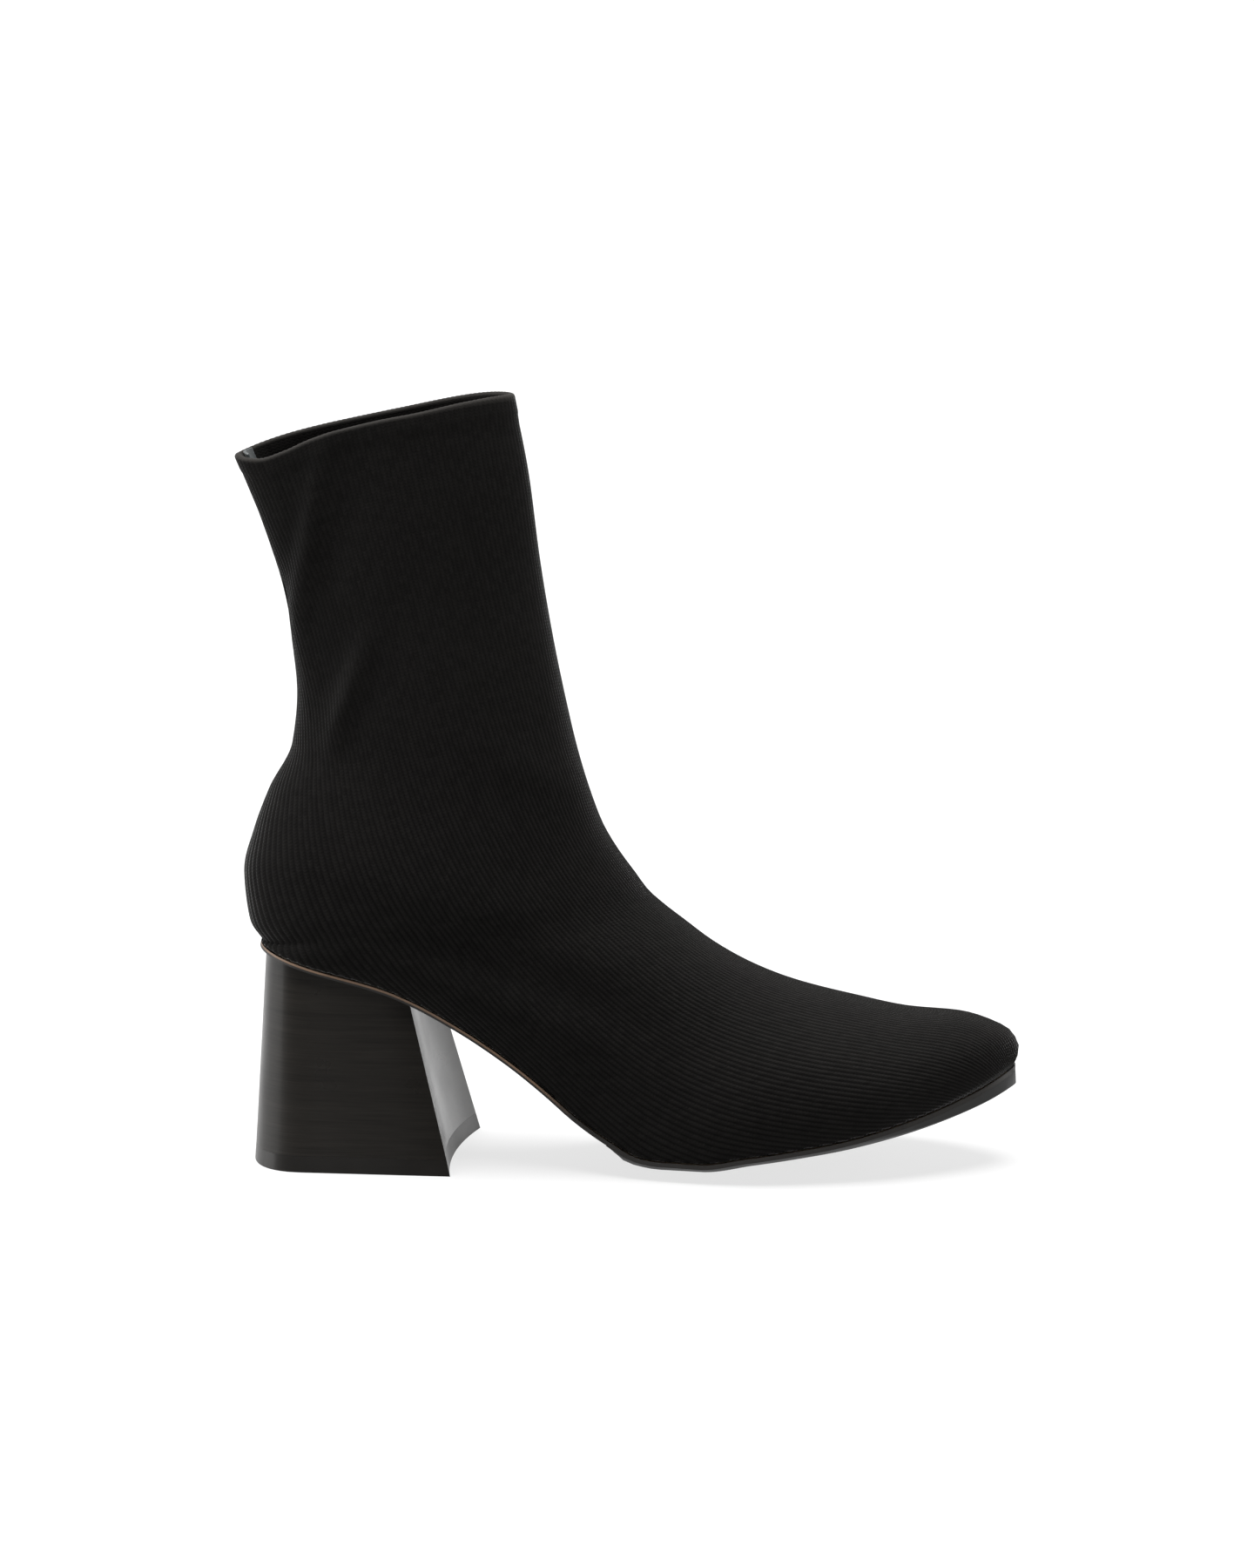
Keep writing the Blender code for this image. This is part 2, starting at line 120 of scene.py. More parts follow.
# The rolled rim: its rows, its radius, and over how many ribs from the ridge it sinks to its full
# roll. Then how far below the rim the rows of the hem lie
RIM_ROWS = 6
RIM_ROUND = (UPPER_WALL + HEM_PROUD) / 2
RIM_FALL = 30
HEM_LINES = (0.0, 0.0008, 0.0021, 0.0035, 0.0047, 0.0057)

# Colours: a dark and a pale tone for each material, and the knit's painted highlight along the rim
KNIT_DARK = (0.0017, 0.0016, 0.0015)
KNIT_PALE = (0.0084, 0.0079, 0.0074)
RIM_PAINTED_HIGHLIGHT = (0.030, 0.028, 0.026)
HEEL_TONES = (0.0085, 0.0076, 0.0067), (0.0195, 0.0174, 0.0150)
# Painted shade that darkens the heel towards its front
HEEL_FRONT_SHADE = (0.004, 0.0035, 0.003)
LIFT_TONES = (0.0074, 0.0065, 0.0055), (0.0105, 0.0093, 0.0080)
RUBBER_TONES = (0.010, 0.010, 0.0095), (0.015, 0.0145, 0.014)
TAN_TONES = (0.13, 0.080, 0.050), (0.22, 0.138, 0.088)
SOLE_EDGE_TONES = (0.009, 0.008, 0.007), (0.015, 0.013, 0.011)
SOLE_UNDER_TONES = (0.012, 0.011, 0.010), (0.018, 0.017, 0.016)
LINING_TONES = (0.36, 0.25, 0.155), (0.44, 0.32, 0.20)
TAPE_TONES = (0.020, 0.026, 0.027), (0.040, 0.048, 0.050)
FLOOR_TONES = (0.14, 0.14, 0.14), (0.15, 0.15, 0.15)

# The knit's painted shade: its colour in the grooves, as a share of that on the ribs
GROOVE_PAINTED_SHADE = 0.36

# The bare tan line: how far down the edge it reaches, and where along the arch it ends
TAN_DEPTH = 0.00062
TAN_END = (0.094, 0.106)

# The camera, in the last's frame
CAMERA_TARGET = (0.120, 0.0, 0.118)
CAMERA_DISTANCE = 1.700
CAMERA_TURN = 6.6
CAMERA_RISE = 9.7
CAMERA_LENS = 126.35

# The surround's strength before and behind the boot, the glow of the floor, which is a light table,
# and the soft suns above the boot and at its ends
SURROUND_FRONT = 0.02
SURROUND_BACK = 0.43
FLOOR_GLOW = 0.74
SUNS = [
    # name, from x, from y, from z, strength, spread in degrees
    ("light_above", -0.22, 0.05, 2.0, 8.6, 52),
    ("light_at_heel", -1.0, 0.10, 0.22, 1.6, 40),
    ("light_at_toe", 1.0, 0.20, 0.30, 1.1, 40),
]

# The tables of the last. The outsole's upper face from the side, the feather line from above, the
# closed sections of the shaft from the collar down, and the open ones from heel to toe
SOLE_PROFILE = [
    # along, seat, spring
    (0.000, 1.000, 0.000),
    (0.125, 0.886, 0.000),
    (0.200, 0.809, 0.000),
    (0.240, 0.744, 0.000),
    (0.300, 0.611, 0.000),
    (0.360, 0.456, 0.000),
    (0.410, 0.306, 0.000),
    (0.450, 0.180, 0.000),
    (0.490, 0.085, 0.000),
    (0.530, 0.011, 0.000),
    (0.555, 0.000, 0.000),
    (0.610, 0.000, 0.000),
    (0.670, 0.000, 0.099),
    (0.730, 0.000, 0.190),
    (0.790, 0.000, 0.289),
    (0.850, 0.000, 0.434),
    (0.910, 0.000, 0.616),
    (0.960, 0.000, 0.806),
    (1.000, 0.000, 1.000),
]
SOLE_OUTLINE = [
    # along, half, swing
    (0.0000, 0.360, 0.00),
    (0.1875, 0.360, 0.00),
    (0.2500, 0.338, -0.10),
    (0.3125, 0.305, -0.19),
    (0.3750, 0.294, -0.25),
    (0.4375, 0.320, -0.19),
    (0.5000, 0.380, -0.08),
    (0.5625, 0.440, 0.04),
    (0.6250, 0.483, 0.15),
    (0.6875, 0.500, 0.27),
    (0.7500, 0.487, 0.45),
    (0.8125, 0.453, 0.66),
    (0.8750, 0.407, 0.83),
    (0.9375, 0.360, 0.96),
    (1.0000, 0.320, 1.00),
]
SHAFT_SECTIONS = [
    # front, front_up, back, back_up, crown, girth
    (0.3555, 1.000, -0.0070, 1.000, 0.450, 0.450),
    (0.3750, 0.837, 0.0203, 0.896, 0.500, 0.500),
    (0.3888, 0.661, 0.0478, 0.766, 0.560, 0.560),
    (0.4045, 0.505, 0.0675, 0.636, 0.630, 0.620),
    (0.4207, 0.374, 0.0721, 0.524, 0.690, 0.680),
    (0.4360, 0.266, 0.0650, 0.411, 0.740, 0.740),
    (0.4530, 0.174, 0.0345, 0.315, 0.775, 0.830),
    (0.4693, 0.105, 0.0138, 0.229, 0.790, 0.950),
    (0.4860, 0.058, 0.0004, 0.143, 0.790, 1.050),
    (0.4998, 0.026, 0.0075, 0.043, 0.795, 1.110),
]
FOOT_SECTIONS = [
    # front, height, sole, crown, girth, low
    (0.5118, 1.000, 0.000, 0.480, 0.667, 1.00),
    (0.5272, 0.955, 0.100, 0.485, 0.535, 0.95),
    (0.5495, 0.904, 0.200, 0.485, 0.445, 0.88),
    (0.5758, 0.843, 0.300, 0.475, 0.440, 0.80),
    (0.6104, 0.765, 0.400, 0.465, 0.455, 0.72),
    (0.6563, 0.666, 0.500, 0.445, 0.520, 0.64),
    (0.7146, 0.567, 0.600, 0.413, 0.590, 0.60),
    (0.7833, 0.479, 0.700, 0.360, 0.573, 0.60),
    (0.8625, 0.371, 0.790, 0.313, 0.453, 0.60),
    (0.9260, 0.296, 0.860, 0.262, 0.335, 0.60),
    (0.9685, 0.213, 0.920, 0.186, 0.217, 0.60),
    (0.9948, 0.136, 0.960, 0.119, 0.131, 0.60),
    (1.0064, 0.062, 0.985, 0.064, 0.070, 0.60),
    (1.0000, 0.000, 1.000, 0.000, 0.000, 0.60),
]

# Ribs between the ridge and the edge of one half. More of them start at the back seam down the
# shaft, which is cut to the leg, and they run off at the feather line from the heel to the toe
RIB_COUNTS = [
    # section, ribs
    (0.0, 64.0),
    (0.6, 64.0),
    (3.0, 69.5),
    (5.0, 76.5),
    (6.5, 80.3),
    (8.0, 81.4),
    (10.0, 82.0),
    (11.0, 76.5),
    (12.0, 70.8),
    (13.0, 64.3),
    (14.0, 58.4),
    (15.0, 55.2),
    (16.0, 49.5),
    (17.0, 43.4),
    (18.0, 37.0),
    (19.0, 27.5),
    (20.0, 17.0),
    (21.0, 9.0),
    (22.0, 4.0),
    (23.0, 0.0),
]

# How far the outer side's rim dips under the inner side's, from the front round to the back
NEAR_RIM = [
    # down, dip in metres
    (0.00, 0.0000),
    (0.15, 0.0006),
    (0.30, 0.0009),
    (0.45, 0.0006),
    (0.60, 0.0010),
    (0.70, 0.0020),
    (0.80, 0.0038),
    (0.87, 0.0044),
    (0.95, 0.0026),
    (1.00, 0.0000),
]

# Soft folds in the knit, on the outer side (-1) and the inner side (1), in metres: the middle of
# each, its half length along and half width across, its lean from upright in degrees, and how far it
# stands out
FOLDS = [
    # side, x, z, long, wide, lean, proud
    (-1, 0.0240, 0.196, 0.030, 0.0040, -10, 0.0017),
    (-1, 0.0330, 0.194, 0.028, 0.0060, -10, -0.0010),
    (-1, 0.0155, 0.186, 0.020, 0.0040, -14, -0.0006),
    (-1, 0.0200, 0.163, 0.014, 0.0036, 4, 0.0008),
    (-1, 0.0370, 0.148, 0.018, 0.0034, -20, 0.0020),
    (-1, 0.0300, 0.153, 0.018, 0.0048, -20, -0.0008),
    (-1, 0.0470, 0.152, 0.018, 0.0055, -20, -0.0004),
    (-1, 0.0900, 0.0790, 0.036, 0.0090, 68, 0.0005),
    (-1, 0.0850, 0.0655, 0.042, 0.0080, 69, -0.0023),
    (-1, 0.0815, 0.0545, 0.038, 0.0080, 69, 0.0013),
    (-1, 0.0930, 0.1250, 0.020, 0.0060, 62, 0.0007),
    (1, 0.0260, 0.176, 0.026, 0.0060, -12, 0.0008),
    (1, 0.0400, 0.140, 0.016, 0.0060, -10, -0.0005),
]

# The folds fade out over this width towards the middle plane
FOLD_FADE = 0.003

# Between these sections the ribs' field turns into even shares of each section
TIP_FIELD = (19.0, 21.5)

CLOSED = len(SHAFT_SECTIONS)
LAST_SECTION = CLOSED + len(FOOT_SECTIONS) - 1

LOW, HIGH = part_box("top_lift")
TO_FRAME = np.array([LOW.x - BASE_BACK, (LOW.y + HIGH.y) / 2, 0.0])


# Shape of the last

def smooth(xs, ys, at):
    """A cubic through the points that never overshoots them, read at `at`."""
    xs, ys = np.asarray(xs, float), np.asarray(ys, float)
    step = np.diff(xs)
    slope = np.diff(ys) / step
    tangent = np.zeros(len(xs))
    same = slope[:-1] * slope[1:] > 0
    before, after = 2 * step[1:] + step[:-1], step[1:] + 2 * step[:-1]
    safe_a = np.where(same, slope[:-1], 1.0)
    safe_b = np.where(same, slope[1:], 1.0)
    tangent[1:-1] = np.where(same, (before + after) / (before / safe_a + after / safe_b), 0.0)
    tangent[0], tangent[-1] = slope[0], slope[-1]
    at = np.clip(at, xs[0], xs[-1])
    i = np.clip(np.searchsorted(xs, at, side="right") - 1, 0, len(xs) - 2)
    h = step[i]
    t = (at - xs[i]) / h
    return (
        ys[i] * (1 + 2 * t) * (1 - t) ** 2
        + tangent[i] * h * t * (1 - t) ** 2
        + ys[i + 1] * t * t * (3 - 2 * t)
        + tangent[i + 1] * h * t * t * (t - 1)
    )


def column(table, number):
    return np.array([row[number] for row in table], float)


def ease(x):
    """Rises from 0 to 1 as x does, level at both ends."""
    x = np.clip(x, 0, 1)
    return x * x * (3 - 2 * x)


def unit(vectors):
    return vectors / np.maximum(np.linalg.norm(vectors, axis=-1, keepdims=True), 1e-12)


def sole_height(x):
    """Height of the outsole's upper face at x."""
    along = column(SOLE_PROFILE, 0) * LENGTH
    height = STACK + column(SOLE_PROFILE, 1) * SEAT_RISE + column(SOLE_PROFILE, 2) * TOE_SPRING
    return smooth(along, height, x)


def sole_slope(x):
    reach = LENGTH / 1000
    return (sole_height(x + reach) - sole_height(x - reach)) / (2 * reach)


def below_sole(x, depth):
    """The point at that depth under the outsole's upper face, square to the face."""
    slope = sole_slope(x)
    size = np.hypot(1, slope)
    return x + depth * slope / size, sole_height(x) - depth / size


def sole_middle(x):
    return smooth(column(SOLE_OUTLINE, 0) * LENGTH, column(SOLE_OUTLINE, 2) * TOE_SWING, x)


def sole_ends(x):
    """How far x lies into the rounded heel end and the rounded toe end, each from 0 to 1."""
    heel = np.clip((HEEL_BACK + SEAT_ROUND - x) / SEAT_ROUND, 0, 1)
    toe = np.clip((x - LENGTH + TOE_ROUND) / TOE_ROUND, 0, 1)
    return heel, toe


def sole_half(x, grow=0.0):
    """Half the width of the feather line at x, grown outwards by `grow`."""
    heel, toe = sole_ends(x)
    width = smooth(column(SOLE_OUTLINE, 0) * LENGTH, column(SOLE_OUTLINE, 1) * BALL_WIDTH, x) + grow
    return width * np.sqrt(1 - heel**2) * np.sqrt(1 - toe**2)


def turn(share):
    """Runs from 0 to 1, with close steps at both ends."""
    return (1 - np.cos(math.pi * np.asarray(share, float))) / 2


def section_values(s):
    """The section at s, where whole numbers are the tables' rows: its ridge, foot and fullness."""
    rows = np.arange(CLOSED + len(FOOT_SECTIONS))
    front_x = np.concatenate([column(SHAFT_SECTIONS, 0), column(FOOT_SECTIONS, 0)]) * LENGTH
    ridge = sole_height(column(FOOT_SECTIONS, 0) * LENGTH) + column(FOOT_SECTIONS, 1) * INSTEP_HEIGHT
    ridge[-1] += CURVE_GAP
    shaft_front = ridge[0] + column(SHAFT_SECTIONS, 1) * (COLLAR_HEIGHT - ridge[0])
    front_z = np.concatenate([shaft_front, ridge])
    seat = sole_height(HEEL_BACK) + CURVE_GAP
    collar_back = COLLAR_HEIGHT - COLLAR_DROP
    back_x = np.append(column(SHAFT_SECTIONS, 2) * LENGTH, HEEL_BACK)
    back_z = np.append(seat + column(SHAFT_SECTIONS, 3) * (collar_back - seat), seat)
    sole = np.concatenate([np.zeros(CLOSED), column(FOOT_SECTIONS, 2)])
    crown = np.append(column(SHAFT_SECTIONS, 4) * SHAFT_WIDTH, column(FOOT_SECTIONS, 3) * BALL_WIDTH)
    girth = np.append(column(SHAFT_SECTIONS, 5) * SHAFT_WIDTH, column(FOOT_SECTIONS, 4) * BALL_WIDTH)
    low = np.append(np.ones(CLOSED), column(FOOT_SECTIONS, 5))
    s = np.asarray(s, float)
    open_part = s > CLOSED
    on_sole = HEEL_BACK + (LENGTH - HEEL_BACK) * turn(smooth(rows, sole, s))
    seam_x, seam_z = (smooth(rows[: CLOSED + 1], back, s) for back in (back_x, back_z))
    foot_x = np.where(open_part, on_sole, seam_x)
    foot_z = np.where(open_part, sole_height(on_sole) + CURVE_GAP, seam_z)
    return {
        "front_x": smooth(rows, front_x, s),
        "front_z": smooth(rows, front_z, s),
        "foot_x": foot_x,
        "foot_z": foot_z,
        "edge": np.where(open_part, sole_half(foot_x), 0.0),
        "crown": smooth(rows, crown, s),
        "girth": smooth(rows, girth, s),
        "low": smooth(rows, low, s),
    }


def half_sections(values, t):
    """Points on the half sections: across (outwards from the middle) and down (0 ridge, 1 foot)."""
    crown, girth, low, edge = (values[k][:, None] for k in ("crown", "girth", "low", "edge"))
    across = 3 * crown * t * (1 - t) ** 2 + 3 * girth * t**2 * (1 - t) + edge * t**3
    down = 3 * low * t**2 * (1 - t) + t**3
    return across, down


def section_lengths(values):
    """Running length round each half section, from its ridge to its foot."""
    t = np.linspace(0, 1, 49)[None, :]
    across, down = half_sections(values, t)
    height = np.hypot(values["front_x"] - values["foot_x"], values["front_z"] - values["foot_z"])
    pieces = np.hypot(np.diff(across), np.diff(down) * height[:, None])
    return t[0], np.concatenate([np.zeros((len(pieces), 1)), np.cumsum(pieces, axis=1)], axis=1)


def upper_points(s, share):
    """Points of the upper's outer face. share runs from 0 on the ridge to -1 or 1 at the foot."""
    values = section_values(s)
    t_steps, lengths = section_lengths(values)
    wanted = np.abs(share) * lengths[:, -1]
    i = np.clip((lengths < wanted[:, None]).sum(axis=1) - 1, 0, len(t_steps) - 2)
    row = np.arange(len(i))
    run = np.maximum(lengths[row, i + 1] - lengths[row, i], 1e-12)
    t = t_steps[i] + np.clip((wanted - lengths[row, i]) / run, 0, 1) * (t_steps[i + 1] - t_steps[i])
    across, down = half_sections(values, t[:, None])
    across, down = across[:, 0], down[:, 0]
    x = values["front_x"] + down * (values["foot_x"] - values["front_x"])
    z = values["front_z"] + down * (values["foot_z"] - values["front_z"])
    z = z + COLLAR_BOW * np.clip(1 - s / 2, 0, 1) ** 2 * (1 - (2 * down - 1) ** 4)
    dip = smooth(column(NEAR_RIM, 0), column(NEAR_RIM, 1), down)
    z = z - dip * (share < 0) * np.clip(1 - s / 2, 0, 1) ** 2
    middle = sole_middle(values["front_x"]) * (1 - down) + sole_middle(values["foot_x"]) * down
    return np.stack([x, middle + np.sign(share) * across, z], axis=-1)


# Paths of the ribs over the upper

def rib_count(s):
    """How many ribs lie between the ridge and the edge at section s."""
    return smooth(column(RIB_COUNTS, 0), column(RIB_COUNTS, 1), s)


def even_field(points, start, held):
    """The smoothest numbers over a grid of points, where the held ones keep their start."""
    number = np.arange(start.size).reshape(start.shape)
    corners = number[:-1, :-1], number[:-1, 1:], number[1:, :-1], number[1:, 1:]
    a, b, c, d = (corner.ravel() for corner in corners)
    faces = np.concatenate([np.stack([a, b, d], axis=1), np.stack([a, d, c], axis=1)])
    flat = points.reshape(-1, 3)
    left, right, weight = [], [], []
    for k in range(3):
        tip, one, two = (faces[:, (k + n) % 3] for n in range(3))
        to_one, to_two = flat[one] - flat[tip], flat[two] - flat[tip]
        area = np.linalg.norm(np.cross(to_one, to_two), axis=1)
        left.append(one)
        right.append(two)
        weight.append(np.clip((to_one * to_two).sum(axis=1) / np.maximum(area, 1e-10), -20, 20))
    left, right, weight = (np.concatenate(part) for part in (left, right, weight))
    count = start.size
    total = np.bincount(left, weight, count) + np.bincount(right, weight, count)
    free = ~held.ravel()

    def pull(x):
        near = np.bincount(left, weight * x[right], count) + np.bincount(right, weight * x[left], count)
        return (total * x - near) * free

    found = start.ravel().copy()
    rest = -pull(found)
    scaled = rest / np.maximum(total, 1e-9)
    way, size = scaled.copy(), rest @ scaled
    for _ in range(1500):
        pulled = pull(way)
        share = size / (way @ pulled)
        found += share * way
        rest -= share * pulled
        scaled = rest / np.maximum(total, 1e-9)
        new_size = rest @ scaled
        if new_size < 1e-9:
            break
        way, size = scaled + new_size / size * way, new_size
    return found.reshape(start.shape)


def rib_field():
    """Sections, and a table of where 81 even shares of the ribs lie round each: 0 ridge, 1 edge."""
    closed_rows = np.linspace(0, CLOSED, 91)[:-1]
    open_rows = np.linspace(CLOSED, LAST_SECTION - 0.3, 150)
    rows = np.append(closed_rows, open_rows)
    shares = np.linspace(0, 1, 49)
    s, share = np.meshgrid(rows, shares, indexing="ij")
    points = upper_points(s.ravel(), np.maximum(share.ravel(), 1e-6)).reshape(*s.shape, 3)
    plain = share * rib_count(rows)[:, None]
    held = np.zeros(s.shape, bool)
    held[:, [0, -1]] = True
    field = even_field(points, plain, held)
    tip = ease((rows - TIP_FIELD[0]) / (TIP_FIELD[1] - TIP_FIELD[0]))[:, None]
    field = (field * (1 - tip) + plain * tip) / rib_count(rows)[:, None]
    field = np.maximum.accumulate(np.clip(field, 0, 1), axis=1) + shares * 1e-6
    even = np.linspace(0, 1, 81)
    return rows, np.array([np.interp(even, row / row[-1], shares) for row in field])


def rib_share(s, rib):
    """Where a rib lies round section s, from -1 to 1."""
    rows, table = RIB_FIELD
    down = np.interp(s, rows, np.arange(len(rows)))
    across = np.clip(np.abs(rib) / np.maximum(rib_count(s), 1e-9), 0, 1) * (table.shape[1] - 1)
    i = np.clip(down.astype(int), 0, len(rows) - 2)
    j = np.clip(across.astype(int), 0, table.shape[1] - 2)
    u, v = down - i, across - j
    upper = table[i, j] * (1 - v) + table[i, j + 1] * v
    lower = table[i + 1, j] * (1 - v) + table[i + 1, j + 1] * v
    return np.sign(rib) * (upper * (1 - u) + lower * u)


def rib_points(s, rib):
    """Points on the upper at section s and at a rib, counted from the ridge and negative outside."""
    share = rib_share(s.ravel(), np.broadcast_to(rib, s.shape).ravel())
    return upper_points(s.ravel(), share).reshape(*s.shape, 3)


def rib_grid(ribs, rows):
    """Sections along each rib for each row, and how far below the collar they lie.

    The first rows lie HEM_LINES below the rim's roll, and the others at equal shares of the rest. A
    rib that the collar doesn't reach starts at the back seam.
    """
    seam, feather = np.linspace(0, CLOSED, 900), np.linspace(CLOSED, LAST_SECTION, 1500)
    from_seam = np.abs(ribs) > rib_count(0.0)
    starts = np.where(from_seam, np.interp(np.abs(ribs), rib_count(seam), seam), 0.0)
    ends = np.interp(np.abs(ribs), rib_count(feather)[::-1], feather[::-1])
    steps = np.linspace(0, 1, 160)[:, None]
    tried = starts + (ends - starts) * steps
    points = rib_points(tried, ribs)
    run = np.linalg.norm(np.diff(points, axis=0), axis=-1)
    run = np.concatenate([np.zeros((1, len(ribs))), np.cumsum(run, axis=0)])
    back = upper_points(seam, np.ones(len(seam)))
    down_seam = np.append(0, np.cumsum(np.linalg.norm(np.diff(back, axis=0), axis=-1)))
    before = np.interp(starts, seam, down_seam)
    first = np.where(from_seam, 0.0, RIM_ROUND * (0.2 + 0.8 * ease(np.abs(ribs) / RIM_FALL)))
    hem = first + np.array(HEM_LINES)[:, None] * np.minimum(1, run[-1] / 0.02)
    rest = np.linspace(0, 1, rows - len(HEM_LINES) + 1)[1:, None]
    wanted = np.concatenate([hem, hem[-1] + (run[-1] - hem[-1]) * rest])
    sections = np.stack([np.interp(w, r, t) for w, r, t in zip(wanted.T, run.T, tried.T)], axis=1)
    sections[-1] = ends
    return sections, wanted + before


def rib_normals(sections, ribs):
    """Outward normals on the upper at those sections and ribs."""
    step, side = 0.01, 0.004
    below, above = np.minimum(sections + step, LAST_SECTION), np.maximum(sections - step, 0)
    down = rib_points(below, ribs) - rib_points(above, ribs)
    flat = sections.ravel()
    share = rib_share(flat, np.broadcast_to(ribs, sections.shape).ravel())
    after, before = np.clip(share + side, -1, 1), np.clip(share - side, -1, 1)
    around = upper_points(flat, after) - upper_points(flat, before)
    normals = unit(np.cross(down, around.reshape(*sections.shape, 3)))
    seam = (np.abs(share) > 1 - 1e-6).reshape(sections.shape) & (sections <= CLOSED)
    return np.where(seam[..., None], unit(normals + normals[:, ::-1]), normals)


def fold_height(points):
    """How far the soft folds lift the knit at these points."""
    height = np.zeros(points.shape[:-1])
    for side, x, z, long, wide, lean, proud in FOLDS:
        angle = math.radians(lean)
        across = (points[..., 0] - x) * math.cos(angle) + (points[..., 2] - z) * math.sin(angle)
        along = (points[..., 2] - z) * math.cos(angle) - (points[..., 0] - x) * math.sin(angle)
        shape = np.exp(-((across / wide) ** 2)) * np.exp(-(np.abs(along / long) ** 2.5))
        height += proud * shape * ease(points[..., 1] * side / FOLD_FADE)
    return height


RIB_FIELD = rib_field()


# Meshes

def grid_faces(rows, columns):
    corners = [i * columns + j for i in range(rows - 1) for j in range(columns - 1)]
    return [(a, a + 1, a + 1 + columns, a + columns) for a in corners]


def turn_outwards(work):
    """Turns every face of a closed mesh outwards."""
    bmesh.ops.recalc_face_normals(work, faces=work.faces)
    if work.calc_volume(signed=True) < 0:
        bmesh.ops.reverse_faces(work, faces=work.faces)


def mesh_piece(name, points, faces, uv, weld=0.000003, sharp=35):
    """An object in the frame's own place from points in the last's frame, one UV for each point."""
    mesh = bpy.data.meshes.new(name)
    mesh.from_pydata([tuple(p) for p in points + TO_FRAME], [], faces)
    layer = mesh.uv_layers.new(name="UVMap")
    corners = np.empty(len(mesh.loops), int)
    mesh.loops.foreach_get("vertex_index", corners)
    layer.data.foreach_set("uv", uv[corners].astype(np.float32).ravel())
    work = bmesh.new()
    work.from_mesh(mesh)
    if weld:
        bmesh.ops.remove_doubles(work, verts=work.verts, dist=weld)
    turn_outwards(work)
    work.to_mesh(mesh)
    work.free()
    mesh.shade_smooth()
    mesh.set_sharp_from_angle(angle=math.radians(sharp))
    piece = bpy.data.objects.new(name, mesh)
    bpy.context.scene.collection.objects.link(piece)
    return piece


def point_attribute(piece, name, values):
    """Stores one number or one vector for each point of the piece."""
    values = np.asarray(values, np.float32)
    kind, field = ("FLOAT_VECTOR", "vector") if values.ndim == 2 else ("FLOAT", "value")
    made = piece.data.attributes.new(name, kind, "POINT")
    made.data.foreach_set(field, values.ravel())


def plate(name, outer, inner):
    """A bent plate between two grids that match, its UV in millimetres along and across."""
    rows, columns = outer.shape[:2]
    points = np.concatenate([outer.reshape(-1, 3), inner.reshape(-1, 3)])
    second = rows * columns
    faces = grid_faces(rows, columns)
    faces += [tuple(a + second for a in face[::-1]) for face in grid_faces(rows, columns)]
    rims = [range(columns), range(second - columns, second)]
    rims += [range(end, second, columns) for end in (0, columns - 1)]
    for rim in rims:
        faces += [(a, b, b + second, a + second) for a, b in zip(rim, rim[1:])]
    return mesh_piece(name, points, faces, points[:, :2] * 1000)


def bevel(piece, width, segments=2):
    """Rounds the piece's sharp edges for good."""
    modifier = piece.modifiers.new("edges", "BEVEL")
    modifier.width = width
    modifier.segments = segments
    modifier.limit_method = "ANGLE"
    modifier.angle_limit = math.radians(35)
    modifier.harden_normals = False
    return settled(piece)


def settled(piece):
    """Turns the piece's evaluated shape into its plain mesh and drops its modifiers."""
    graph = bpy.context.evaluated_depsgraph_get()
    mesh = bpy.data.meshes.new_from_object(piece.evaluated_get(graph), depsgraph=graph)
    piece.modifiers.clear()
    old = piece.data
    piece.data = mesh
    bpy.data.meshes.remove(old)
    mesh.name = piece.name
    return piece


# Node helpers

def add_node(tree, kind, inputs=None, **settings):
    """One node, with each input set to a value or linked to another node's socket."""
    made = tree.nodes.new(kind)
    for name, value in settings.items():
        setattr(made, name, value)
    for key, value in (inputs or {}).items():
        if isinstance(value, bpy.types.NodeSocket):
            tree.links.new(value, made.inputs[key])
        else:
            made.inputs[key].default_value = value
    return made


def math_node(tree, operation, a, b=0.0):
    """The result socket of one Math node."""
    inputs = {0: a} if operation in ("ABSOLUTE", "SINE", "FRACT", "FLOOR") else {0: a, 1: b}
    return add_node(tree, "ShaderNodeMath", inputs, operation=operation).outputs[0]


def times(tree, a, b):
    return math_node(tree, "MULTIPLY", a, b)


def plus(tree, a, b):
    return math_node(tree, "ADD", a, b)


def mix_colour(tree, factor, a, b):
    """Between colours a and b, each a value or a socket."""
    made = add_node(tree, "ShaderNodeMix", {"Factor": factor}, data_type="RGBA")
    for key, value in ((6, a), (7, b)):
        if isinstance(value, bpy.types.NodeSocket):
            tree.links.new(value, made.inputs[key])
        else:
            made.inputs[key].default_value = (*value, 1.0)
    return made.outputs[2]


def spread(tree, value, low, high, to_low=0.0, to_high=1.0):
    """Maps value from low..high to to_low..to_high."""
    inputs = {0: value, 1: low, 2: high, 3: to_low, 4: to_high}
    return add_node(tree, "ShaderNodeMapRange", inputs).outputs[0]


def object_noise(tree, scale, detail=3.0, stretch=(1, 1, 1)):
    """Noise on the piece's own coordinates, stretched by a Mapping node."""
    place = add_node(tree, "ShaderNodeTexCoord").outputs["Object"]
    mapped = add_node(tree, "ShaderNodeMapping", {"Vector": place, "Scale": stretch}).outputs[0]
    inputs = {"Vector": mapped, "Scale": scale, "Detail": detail}
    return add_node(tree, "ShaderNodeTexNoise", inputs).outputs[0]


def bump_from(tree, height, strength, distance):
    inputs = {"Height": height, "Strength": strength, "Distance": distance}
    return add_node(tree, "ShaderNodeBump", inputs).outputs[0]


